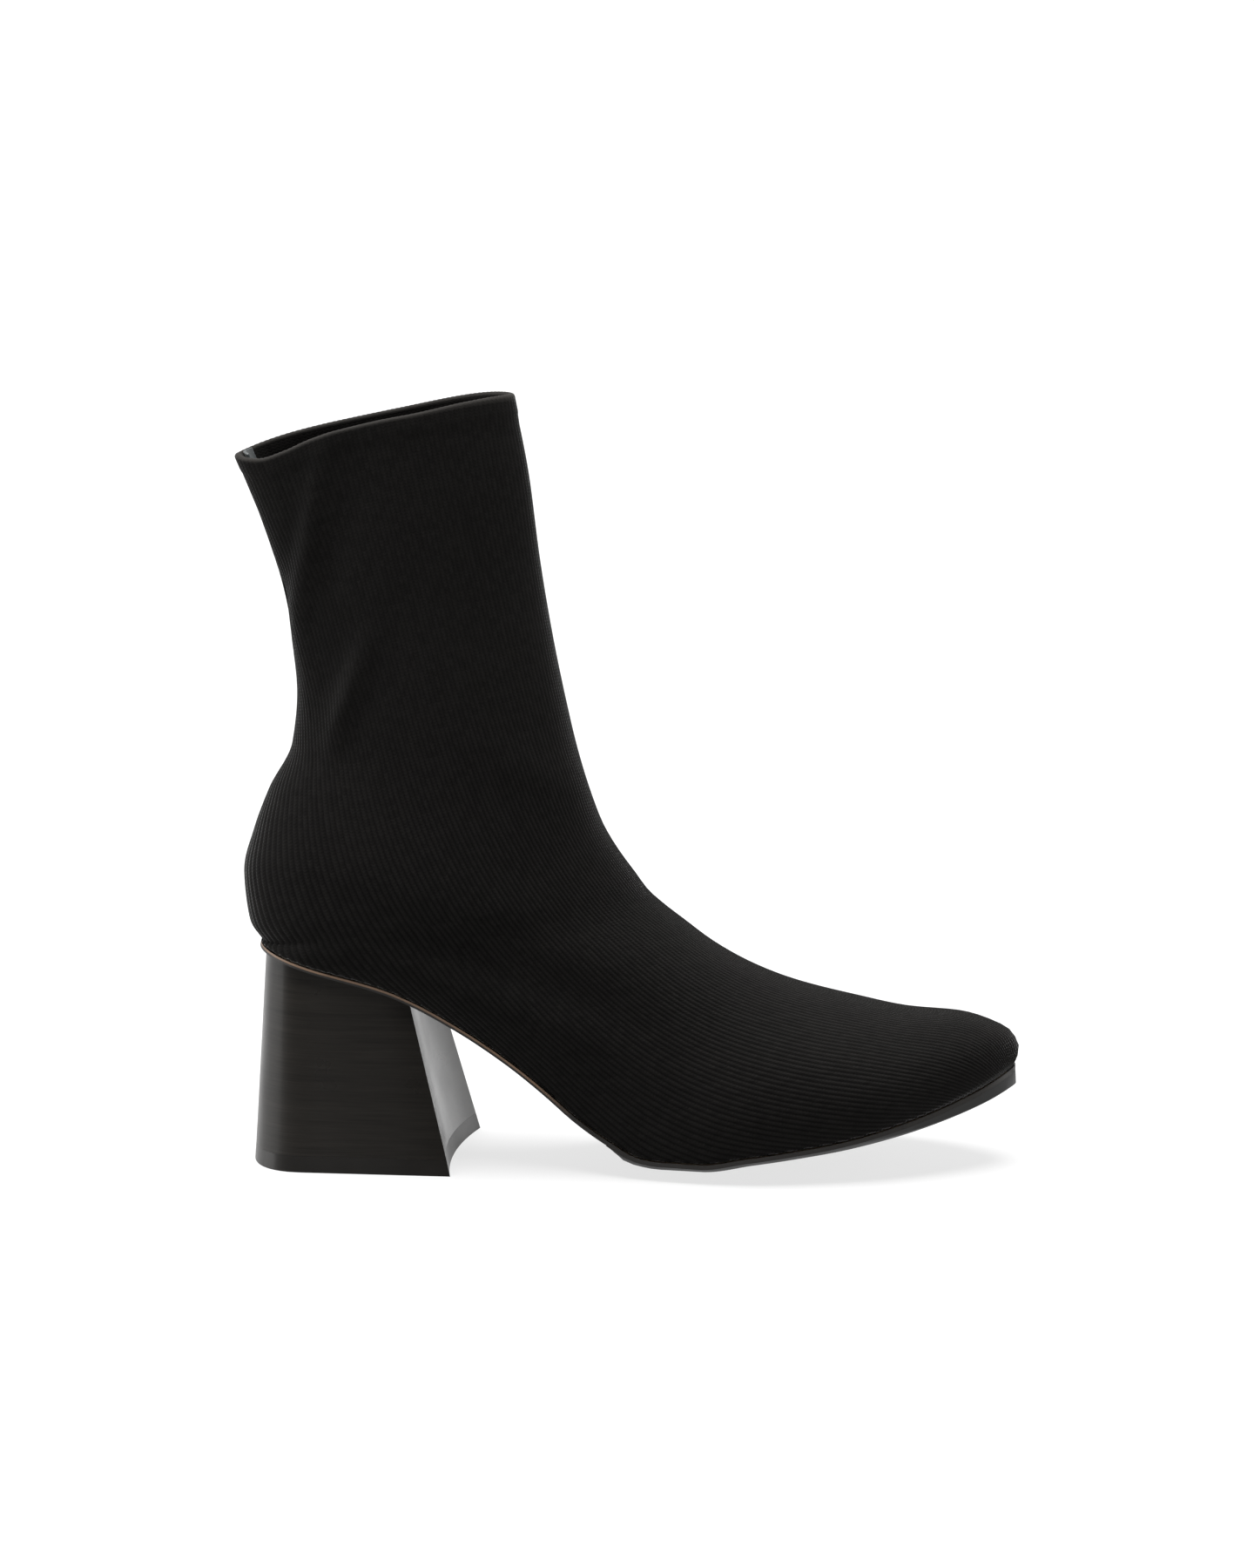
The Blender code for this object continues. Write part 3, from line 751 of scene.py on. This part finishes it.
def new_material(name, **constants):
    """A material whose Principled shader has these constant inputs, given with _ for spaces."""
    made = bpy.data.materials.new(name)
    made.use_nodes = True
    shader = made.node_tree.nodes["Principled BSDF"]
    for key, value in constants.items():
        shader.inputs[key.replace("_", " ")].default_value = value
    return made, made.node_tree, shader


# Materials

def knit_material(name):
    """Black ribbed knit: ribs across U, courses of small loops along V in millimetres, with painted
    shade in the grooves and a painted highlight along the rim.
    """
    made, tree, shader = new_material(
        name, Roughness=0.9, Specular_IOR_Level=0.05, Sheen_Weight=0.16, Sheen_Roughness=0.28
    )
    uv = add_node(tree, "ShaderNodeUVMap", uv_map="UVMap").outputs[0]
    split = add_node(tree, "ShaderNodeSeparateXYZ", {0: uv})
    relief = add_node(tree, "ShaderNodeAttribute", attribute_name="relief").outputs["Fac"]
    rib = math_node(tree, "FRACT", split.outputs[0])
    ridge = math_node(tree, "SINE", times(tree, rib, math.pi))
    lean = math_node(tree, "ABSOLUTE", math_node(tree, "SUBTRACT", rib, 0.5))
    course = math_node(tree, "DIVIDE", split.outputs[1], COURSE * 1000)
    shifted = plus(tree, course, times(tree, lean, 1.3))
    loop = math_node(tree, "SINE", times(tree, math_node(tree, "FRACT", shifted), math.pi))
    whole_rib = math_node(tree, "FLOOR", split.outputs[0])
    whole_loop = math_node(tree, "FLOOR", math_node(tree, "DIVIDE", shifted, 2))
    cell = add_node(tree, "ShaderNodeCombineXYZ", {0: whole_rib, 1: whole_loop}).outputs[0]
    speckle = add_node(tree, "ShaderNodeTexWhiteNoise", {"Vector": cell}, noise_dimensions="2D")
    fibre = object_noise(tree, 2600, 4)
    worn = object_noise(tree, 26, 3)
    # Painted shade: the grooves between the ribs get a darker colour, scaled by the relief
    groove = times(tree, math_node(tree, "SUBTRACT", 1.0, ridge), relief)
    raised = spread(tree, groove, 0.0, 1.0, 1.0, GROOVE_PAINTED_SHADE)
    shade = times(tree, raised, plus(tree, 0.75, times(tree, loop, 0.25)))
    shade = times(tree, shade, spread(tree, worn, 0.3, 0.7, 0.85, 1.12))
    shade = times(tree, shade, spread(tree, fibre, 0.3, 0.7, 0.8, 1.2))
    shade = times(tree, shade, spread(tree, speckle.outputs[0], 0.0, 1.0, 0.72, 1.12))
    # Painted highlight: the knit turns paler over the first 1.5 mm below the rim, inside and out
    painted_rim_highlight = spread(tree, split.outputs[1], 0.0, 1.5, 0.7, 0.0)
    colour = mix_colour(tree, painted_rim_highlight, mix_colour(tree, shade, KNIT_DARK, KNIT_PALE), RIM_PAINTED_HIGHLIGHT)
    tree.links.new(colour, shader.inputs["Base Color"])
    height = plus(tree, times(tree, loop, raised), times(tree, fibre, 0.5))
    tree.links.new(bump_from(tree, height, 0.6, 0.00012), shader.inputs["Normal"])
    return made


def heel_material(name, coat):
    """Dark stacked heel: thin level layers under a clear coat, with painted shade darkening it towards
    the front.
    """
    made, tree, shader = new_material(
        name, Specular_IOR_Level=0.13, Coat_Weight=coat, Coat_Roughness=0.14
    )
    streak = object_noise(tree, 1.0, 5, (60, 60, 2200))
    layer = object_noise(tree, 1.0, 2, (3, 3, 420))
    cloud = object_noise(tree, 60, 3)
    grain = plus(tree, times(tree, streak, 0.6), times(tree, layer, 0.4))
    colour = mix_colour(tree, spread(tree, grain, 0.32, 0.68), *HEEL_TONES)
    place = add_node(tree, "ShaderNodeTexCoord").outputs["Object"]
    along = add_node(tree, "ShaderNodeSeparateXYZ", {0: place}).outputs[0]
    # Painted shade: the colour darkens from the back of the heel towards its front
    ahead = spread(tree, along, TO_FRAME[0] + 0.008, TO_FRAME[0] + BASE_FRONT, 0.0, 0.35)
    tree.links.new(mix_colour(tree, ahead, colour, HEEL_FRONT_SHADE), shader.inputs["Base Color"])
    tree.links.new(spread(tree, cloud, 0.3, 0.7, 0.26, 0.36), shader.inputs["Roughness"])
    tree.links.new(bump_from(tree, grain, 0.35, 0.00008), shader.inputs["Normal"])
    return made


def leather_material(name, tones, roughness, **constants):
    """Smooth leather or rubber in two near tones with a fine grain."""
    made, tree, shader = new_material(name, **constants)
    grain = object_noise(tree, 1400, 4)
    cloud = object_noise(tree, 45, 4)
    colour = mix_colour(tree, spread(tree, cloud, 0.35, 0.65), *tones)
    tree.links.new(colour, shader.inputs["Base Color"])
    rough = spread(tree, cloud, 0.3, 0.7, roughness - 0.06, roughness + 0.06)
    tree.links.new(rough, shader.inputs["Roughness"])
    tree.links.new(bump_from(tree, grain, 0.3, 0.00006), shader.inputs["Normal"])
    return made


def tape_material():
    """Grey satin tape, its weave in millimetres of UV."""
    made, tree, shader = new_material("satin_tape", Sheen_Weight=0.2, Anisotropic=0.4)
    uv = add_node(tree, "ShaderNodeUVMap", uv_map="UVMap").outputs[0]
    scaled = add_node(tree, "ShaderNodeMapping", {"Vector": uv, "Scale": (3.2, 3.2, 1)}).outputs[0]
    weave = add_node(tree, "ShaderNodeTexChecker", {"Vector": scaled, "Scale": 1.0}).outputs[1]
    cloud = object_noise(tree, 140, 3)
    colour = mix_colour(tree, spread(tree, cloud, 0.3, 0.7), *TAPE_TONES)
    tree.links.new(colour, shader.inputs["Base Color"])
    tree.links.new(spread(tree, cloud, 0.3, 0.7, 0.34, 0.5), shader.inputs["Roughness"])
    tree.links.new(bump_from(tree, weave, 0.3, 0.00005), shader.inputs["Normal"])
    return made


# Geometry Nodes trees

def new_tree(name, sizes):
    """An empty Geometry Nodes tree with a geometry input, named sizes and a material input."""
    tree = bpy.data.node_groups.new(name, "GeometryNodeTree")
    tree.interface.new_socket("Geometry", in_out="INPUT", socket_type="NodeSocketGeometry")
    for size in sizes:
        tree.interface.new_socket(size, in_out="INPUT", socket_type="NodeSocketFloat")
    tree.interface.new_socket("Finish", in_out="INPUT", socket_type="NodeSocketMaterial")
    tree.interface.new_socket("Geometry", in_out="OUTPUT", socket_type="NodeSocketGeometry")
    return tree, add_node(tree, "NodeGroupInput").outputs


def finish_tree(tree, geometry, finish):
    """Ends a tree with Realize Instances and Set Material."""
    real = add_node(tree, "GeometryNodeRealizeInstances", {0: geometry}).outputs[0]
    painted = add_node(tree, "GeometryNodeSetMaterial", {"Geometry": real, "Material": finish})
    add_node(tree, "NodeGroupOutput", {0: painted.outputs[0]})


def run_tree(piece, tree, values):
    """Runs the tree on the piece with these inputs by name, and keeps the result as a plain mesh."""
    modifier = piece.modifiers.new(tree.name, "NODES")
    modifier.node_group = tree
    for item in tree.interface.items_tree:
        if item.in_out == "INPUT" and item.name in values:
            modifier[item.identifier] = values[item.name]
    return settled(piece)


def rib_tree():
    """Raises ribs along the normals from each point's place among the ribs."""
    tree, given = new_tree("knit ribs", ("Rib depth",))

    def named(name, kind):
        made = add_node(tree, "GeometryNodeInputNamedAttribute", {"Name": name}, data_type=kind)
        return made.outputs[0]

    wave = math_node(tree, "SINE", times(tree, named("rib", "FLOAT"), math.pi))
    wave = math_node(tree, "POWER", math_node(tree, "ABSOLUTE", wave), 0.6)
    profile = math_node(tree, "SUBTRACT", wave, 0.75)
    height = times(tree, times(tree, profile, given["Rib depth"]), named("relief", "FLOAT"))
    scaled = {0: named("outward", "FLOAT_VECTOR"), "Scale": height}
    offset = add_node(tree, "ShaderNodeVectorMath", scaled, operation="SCALE").outputs[0]
    moved = {"Geometry": given["Geometry"], "Offset": offset}
    raised = add_node(tree, "GeometryNodeSetPosition", moved).outputs[0]
    finish_tree(tree, raised, given["Finish"])
    return tree


# Pieces

def make_knit():
    """The upper: ribbed outer face, rolled hem at the collar and a smooth inside, as one skin."""
    most = rib_count(float(CLOSED))
    count = int(2 * most * RIB_STEPS)
    ribs = np.linspace(-most, most, count + 1)
    sections, depth = rib_grid(ribs, KNIT_ROWS)
    outward = rib_normals(sections, ribs)
    outer = rib_points(sections, ribs)
    outer += outward * fold_height(outer)[..., None]
    hem = HEM_PROUD * (1 - ease((depth - HEM_HEIGHT + 0.0008) / 0.0014))
    outer += outward * hem[..., None]
    picks = np.unique(np.round(np.linspace(0, KNIT_ROWS - 1, LINING_ROWS)).astype(int))
    inner = (outer - outward * (UPPER_WALL + hem)[..., None])[picks]
    downwards = unit(outer[1] - outer[0])
    middle = (outer[0] + inner[0]) / 2
    half = np.linalg.norm(outer[0] - inner[0], axis=-1)[:, None] / 2
    angles = np.linspace(0, math.pi, RIM_ROWS + 2)[1:-1]
    rim_out = np.array([outward[0] * math.cos(a) - downwards * math.sin(a) for a in angles])
    rim = middle + half * rim_out
    points = np.concatenate([inner[::-1], rim[::-1], outer])
    normals = np.concatenate([-outward[picks][::-1], rim_out[::-1], outward])
    relief = np.concatenate([
        np.zeros((len(picks), count + 1)),
        np.full((RIM_ROWS, count + 1), RIM_RELIEF),
        RIM_RELIEF
        + (SHAFT_RELIEF - RIM_RELIEF) * ease((depth - HEM_HEIGHT) / 0.002)
        + (1 - SHAFT_RELIEF) * ease((depth - 0.06) / 0.08),
    ])
    v = np.concatenate([depth[picks][::-1], np.zeros((RIM_ROWS, count + 1)), depth]) * 1000
    u = np.broadcast_to(ribs + most, v.shape)
    phase = u.copy()
    on_seam = np.abs(ribs) >= rib_count(0.0)
    phase[len(picks) + RIM_ROWS, on_seam] = np.round(ribs[on_seam])
    rows, columns = points.shape[:2]
    at_rim = range((len(picks) - 1) * columns, (len(picks) + RIM_ROWS) * columns)

    def kept(face):
        """False on the rim between ribs that start further down the back seam."""
        return face[0] not in at_rim or not on_seam[[a % columns for a in face[:2]]].all()

    faces = [face for face in grid_faces(rows, columns) if kept(face)]
    last = (rows - 1) * columns
    faces += [(a, last + a, last + a + 1, a + 1) for a in range(columns - 1)]
    uv = np.stack([u.ravel(), v.ravel()], axis=-1)
    piece = mesh_piece("knit_upper", points.reshape(-1, 3), faces, uv, weld=0, sharp=180)
    point_attribute(piece, "outward", normals.reshape(-1, 3))
    point_attribute(piece, "rib", phase.ravel())
    point_attribute(piece, "relief", relief.ravel())
    run_tree(piece, rib_tree(), {"Rib depth": RIB_DEPTH, "Finish": knit_material("ribbed_knit")})
    merge_points(piece, 0.000004)
    return piece


def merge_points(piece, distance):
    """Joins points that lie that close, and drops those that no face uses."""
    work = bmesh.new()
    work.from_mesh(piece.data)
    bmesh.ops.remove_doubles(work, verts=work.verts, dist=distance)
    loose = [point for point in work.verts if not point.link_faces]
    bmesh.ops.delete(work, geom=loose, context="VERTS")
    turn_outwards(work)
    work.to_mesh(piece.data)
    work.free()


def sole_face(grow, depth, lift=0.0):
    """A face that deep under the outsole's upper face, wider by `grow`, its edges raised by `lift`."""

    def point(x, v):
        half = sole_half(x, grow)
        outer = np.clip((abs(v) - TREAD_FLAT) / (1 - TREAD_FLAT), 0, 1)
        rise = lift * outer**2 * min(1.0, half / TREAD_CHAMFER)
        heel, toe = sole_ends(x)
        moved_x, z = below_sole(x + grow * (toe - heel), depth)
        return moved_x, sole_middle(x) + v * half, z + rise

    return point


def slab(name, stations, shares, top, bottom):
    """A plate between two faces over one plan. top and bottom give a point for x and a share across."""
    grids = [np.array([[face(x, v) for v in shares] for x in stations]) for face in (top, bottom)]
    return plate(name, grids[0], grids[1])


def sole_stations(first, last, count):
    return first + (last - first) * turn(np.linspace(0, 1, count))


def make_outsole():
    grow = OUTSOLE_MARGIN
    stations = sole_stations(HEEL_BACK, LENGTH, 150)
    across = np.linspace(-1, 1, 15)
    piece = slab("thin_outsole", stations, across, sole_face(grow, 0), sole_face(grow, OUTSOLE_THICK))
    return bevel(piece, 0.00015)


def make_tread():
    grow = OUTSOLE_MARGIN
    upper_depth = OUTSOLE_THICK + GLUE_GAP
    full = TREAD_START + TREAD_CHAMFER
    flat = [row[0] * LENGTH for row in SOLE_PROFILE if row[1] == 0 and row[2] == 0]
    ahead = sole_stations(flat[-1], LENGTH, 90)
    back = np.linspace(TREAD_START, full, 7)
    stations = np.concatenate([back, np.linspace(full, flat[0], 5)[1:], ahead])

    def underside(x, v):
        share = np.clip((x - TREAD_START) / TREAD_CHAMFER, TREAD_BACK, 1)
        depth = upper_depth + TREAD_THICK * share
        toe = sole_ends(x)[1]
        lift = TREAD_EDGE_LIFT * share * (1 - TREAD_TOE_FILL * toe)
        moved_x, y, z = sole_face(grow - TREAD_BEVEL * share, depth, lift)(x, v)
        return moved_x - TREAD_TOE_BACK * toe**2, y, z

    across = np.concatenate([-turn(np.linspace(1, 0.5, 13)), turn(np.linspace(0.5, 1, 13))])
    across = np.sign(across) * (2 * np.abs(across) - 1)
    across = np.unique(np.round(across, 6))
    piece = slab("forefoot_tread", stations, across, sole_face(grow, upper_depth), underside)
    return bevel(piece, 0.0003)


def make_insole():
    grow = -(UPPER_WALL + 2 * CURVE_GAP)
    stations = sole_stations(HEEL_BACK, LENGTH, 120)
    top, bottom = sole_face(grow, -GAP - INSOLE_THICK), sole_face(grow, -GAP)
    piece = slab("insole_board", stations, np.linspace(-1, 1, 15), top, bottom)
    return bevel(piece, 0.0006)


def heel_plan(share, v, down):
    """x and y on the heel, share 0 at its back to 1 at its breast, v across, down 0 top to 1 floor."""
    seat_back, seat_width = HEEL_BACK + HEEL_INSET, sole_half(BREAST_TOP / 2) - HEEL_INSET
    back = seat_back + (BASE_BACK - seat_back) * down
    front = BREAST_TOP + (BASE_FRONT - BREAST_TOP) * down
    half = seat_width + (BASE_WIDTH / 2 - seat_width) * down
    bend = SEAT_ROUND + (BASE_ROUND - SEAT_ROUND) * down
    power = 2 + down / 2
    along = share * (front - back)
    rounding = (1 - np.clip(1 - along / bend, 0, 1) ** power) ** (1 / power)
    hollow = BREAST_HOLLOW * (1 - v * v) * share**4
    x = back + along - hollow
    narrow = min(1.0, float(sole_half(x, -HEEL_INSET)) / seat_width) if share > 0.5 else 1.0
    return x, v * half * rounding * (narrow * (1 - down) + down)


def heel_stations():
    bend = SEAT_ROUND / (BREAST_TOP - HEEL_BACK)
    back = bend * (1 - np.cos(np.linspace(0, math.pi / 2, 32)))
    return np.concatenate([back, np.linspace(bend, 1, 14)[1:]])


def make_heel():
    """The flared block, its top cut to the heel seat."""
    seat_depth = OUTSOLE_THICK + GAP
    foot = TOP_LIFT_THICK + GLUE_GAP

    def top(share, v):
        x, y = heel_plan(share, v, 0.0)
        return x, y, sole_height(x) - seat_depth * np.hypot(1, sole_slope(x))

    def bottom(share, v):
        x, y = heel_plan(share, v, 1 - foot / sole_height(BREAST_TOP))
        return x, y, foot

    piece = slab("heel_block", heel_stations(), np.linspace(-1, 1, 21), top, bottom)
    bevel(piece, 0.0003, 3)
    piece.data.materials.append(heel_material("stacked_heel", 0.06))
    piece.data.materials.append(heel_material("glossy_breast", 0.4))
    for face in piece.data.polygons:
        face.material_index = int(face.normal.x > 0.5)
    return piece


def make_top_lift():
    """The wearing piece under the heel."""
    down = 1 - TOP_LIFT_THICK / sole_height(BREAST_TOP)

    def top(share, v):
        return (*heel_plan(share, v, down), TOP_LIFT_THICK)

    def bottom(share, v):
        return (*heel_plan(share, v, 1.0), 0.0)

    piece = slab("heel_top_lift", heel_stations(), np.linspace(-1, 1, 21), top, bottom)
    return bevel(piece, 0.0003, 3)


def collar_distance(distance):
    """The section that lies that far below the collar, along the front."""
    s = np.linspace(0, 2, 80)
    values = section_values(s)
    run = np.hypot(np.diff(values["front_x"]), np.diff(values["front_z"]))
    return float(np.interp(distance, np.append(0, np.cumsum(run)), s))


def tape_face(inset):
    """The tape's face that far inside the upper's outer face, from one edge to the other."""
    s = np.linspace(collar_distance(TAPE_DROP), CLOSED - TAPE_END, 90)
    reach = TAPE_WIDTH / 2 / section_lengths(section_values(s))[1][:, -1]
    places = np.linspace(-1, 1, 9)
    rows = [upper_points(s, np.where(p < 0, 1 - reach * -p, reach * p - 1)) for p in places[:-5]]
    rows.append(upper_points(s, np.ones(len(s))))
    rows += [upper_points(s, reach * p - 1) for p in places[5:]]
    grid = np.array(rows).transpose(1, 0, 2)
    normals = unit(np.cross(np.gradient(grid, axis=0), np.gradient(grid, axis=1)))
    return grid - normals * inset


def make_back_tape():
    near = UPPER_WALL + 2 * CURVE_GAP
    return bevel(plate("satin_tape", tape_face(near), tape_face(near + TAPE_THICK)), 0.0002)


# Camera, light and floor

def aim(thing, place, target):
    thing.location = place
    thing.rotation_euler = (Vector(target) - Vector(place)).to_track_quat("-Z", "Y").to_euler()


def make_camera():
    turned, risen = math.radians(CAMERA_TURN), math.radians(CAMERA_RISE)
    target = Vector(CAMERA_TARGET) + Vector(TO_FRAME)
    level = math.cos(risen)
    away = Vector((math.sin(turned) * level, -math.cos(turned) * level, math.sin(risen)))
    data = bpy.data.cameras.new("photo_view")
    data.sensor_fit = "VERTICAL"
    data.sensor_height = 36
    data.lens = CAMERA_LENS
    data.clip_end = 100
    camera = bpy.data.objects.new("photo_view", data)
    bpy.context.scene.collection.objects.link(camera)
    aim(camera, target + away * CAMERA_DISTANCE, target)
    bpy.context.scene.camera = camera


def make_studio():
    """A glowing floor, a surround that is dimmer on the camera's side, and soft suns."""
    scene = bpy.context.scene
    scene.view_settings.view_transform = "Standard"
    world = bpy.data.worlds.new("soft_surround")
    world.use_nodes = True
    tree = world.node_tree
    tree.nodes.clear()
    ray = add_node(tree, "ShaderNodeTexCoord").outputs["Generated"]
    split = add_node(tree, "ShaderNodeSeparateXYZ", {0: ray})
    strength = spread(tree, split.outputs[1], -0.6, 0.3, SURROUND_FRONT, SURROUND_BACK)
    back = add_node(tree, "ShaderNodeBackground", {"Color": (1, 1, 1, 1), "Strength": strength})
    add_node(tree, "ShaderNodeOutputWorld", {"Surface": back.outputs[0]})
    scene.world = world

    for name, x, y, z, strength, spread_angle in SUNS:
        sun = bpy.data.lights.new(name, "SUN")
        sun.energy = strength
        sun.angle = math.radians(spread_angle)
        light = bpy.data.objects.new(name, sun)
        scene.collection.objects.link(light)
        aim(light, (x, y, z), (0, 0, 0))

    bpy.ops.mesh.primitive_plane_add(size=60)
    floor = bpy.context.object
    floor.name = "pale_floor"
    glow = {"Emission_Color": (1, 1, 1, 1), "Emission_Strength": FLOOR_GLOW}
    made, tree, shader = new_material("pale_floor", Roughness=0.6, Specular_IOR_Level=0.2, **glow)
    shade = object_noise(tree, 3, 2)
    tree.links.new(mix_colour(tree, shade, *FLOOR_TONES), shader.inputs["Base Color"])
    floor.data.materials.append(made)


def paint_outsole(piece):
    """A bare tan line along the top of the edge, dark below it, and all black ahead of the arch."""
    made, tree, shader = new_material("tan_edge", Roughness=0.5, Specular_IOR_Level=0.3)
    place = add_node(tree, "ShaderNodeTexCoord").outputs["Object"]
    along = add_node(tree, "ShaderNodeSeparateXYZ", {0: place}).outputs[0]
    cloud = object_noise(tree, 300, 3)
    along = plus(tree, along, spread(tree, cloud, 0.3, 0.7, -0.002, 0.002))
    depth = add_node(tree, "ShaderNodeAttribute", attribute_name="depth").outputs["Fac"]
    ahead = spread(tree, along, TAN_END[0] + TO_FRAME[0], TAN_END[1] + TO_FRAME[0])
    below = spread(tree, depth, TAN_DEPTH - 0.00015, TAN_DEPTH + 0.00015)
    tan = mix_colour(tree, cloud, *TAN_TONES)
    dark = mix_colour(tree, cloud, *SOLE_EDGE_TONES)
    colour = mix_colour(tree, math_node(tree, "MAXIMUM", ahead, below), tan, dark)
    tree.links.new(colour, shader.inputs["Base Color"])
    grain = object_noise(tree, 900, 3)
    tree.links.new(bump_from(tree, grain, 0.3, 0.00005), shader.inputs["Normal"])
    coat = {"Coat_Weight": 0.5, "Coat_Roughness": 0.15}
    under = leather_material("sole_black", SOLE_UNDER_TONES, 0.3, **coat)
    points = np.array([point.co for point in piece.data.vertices]) - TO_FRAME
    slope = np.hypot(1, sole_slope(points[:, 0]))
    point_attribute(piece, "depth", (sole_height(points[:, 0]) - points[:, 2]) / slope)
    piece.data.materials.append(made)
    piece.data.materials.append(under)
    for face in piece.data.polygons:
        face.material_index = 0 if abs(face.normal.z) < 0.6 else 1


def finish_piece(piece, node, material=None):
    """Gives the piece its material and its place in the frame."""
    if material is not None:
        piece.data.materials.clear()
        piece.data.materials.append(material)
    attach(piece, "root")
    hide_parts(node)


def main():
    make_camera()
    make_studio()
    finish_piece(make_knit(), "upper")
    finish_piece(make_heel(), "heel")
    coat = {"Coat_Weight": 0.15, "Coat_Roughness": 0.2}
    lift = leather_material("lift_rubber", LIFT_TONES, 0.38, Specular_IOR_Level=0.2, **coat)
    finish_piece(make_top_lift(), "top_lift", lift)
    rubber = leather_material("black_rubber", RUBBER_TONES, 0.55, Specular_IOR_Level=0.2)
    finish_piece(make_tread(), "tread", rubber)
    lining = leather_material("tan_lining", LINING_TONES, 0.6)
    finish_piece(make_insole(), "insole", lining)
    outsole = make_outsole()
    paint_outsole(outsole)
    finish_piece(outsole, "outsole")
    finish_piece(make_back_tape(), "back_tape", tape_material())


main()
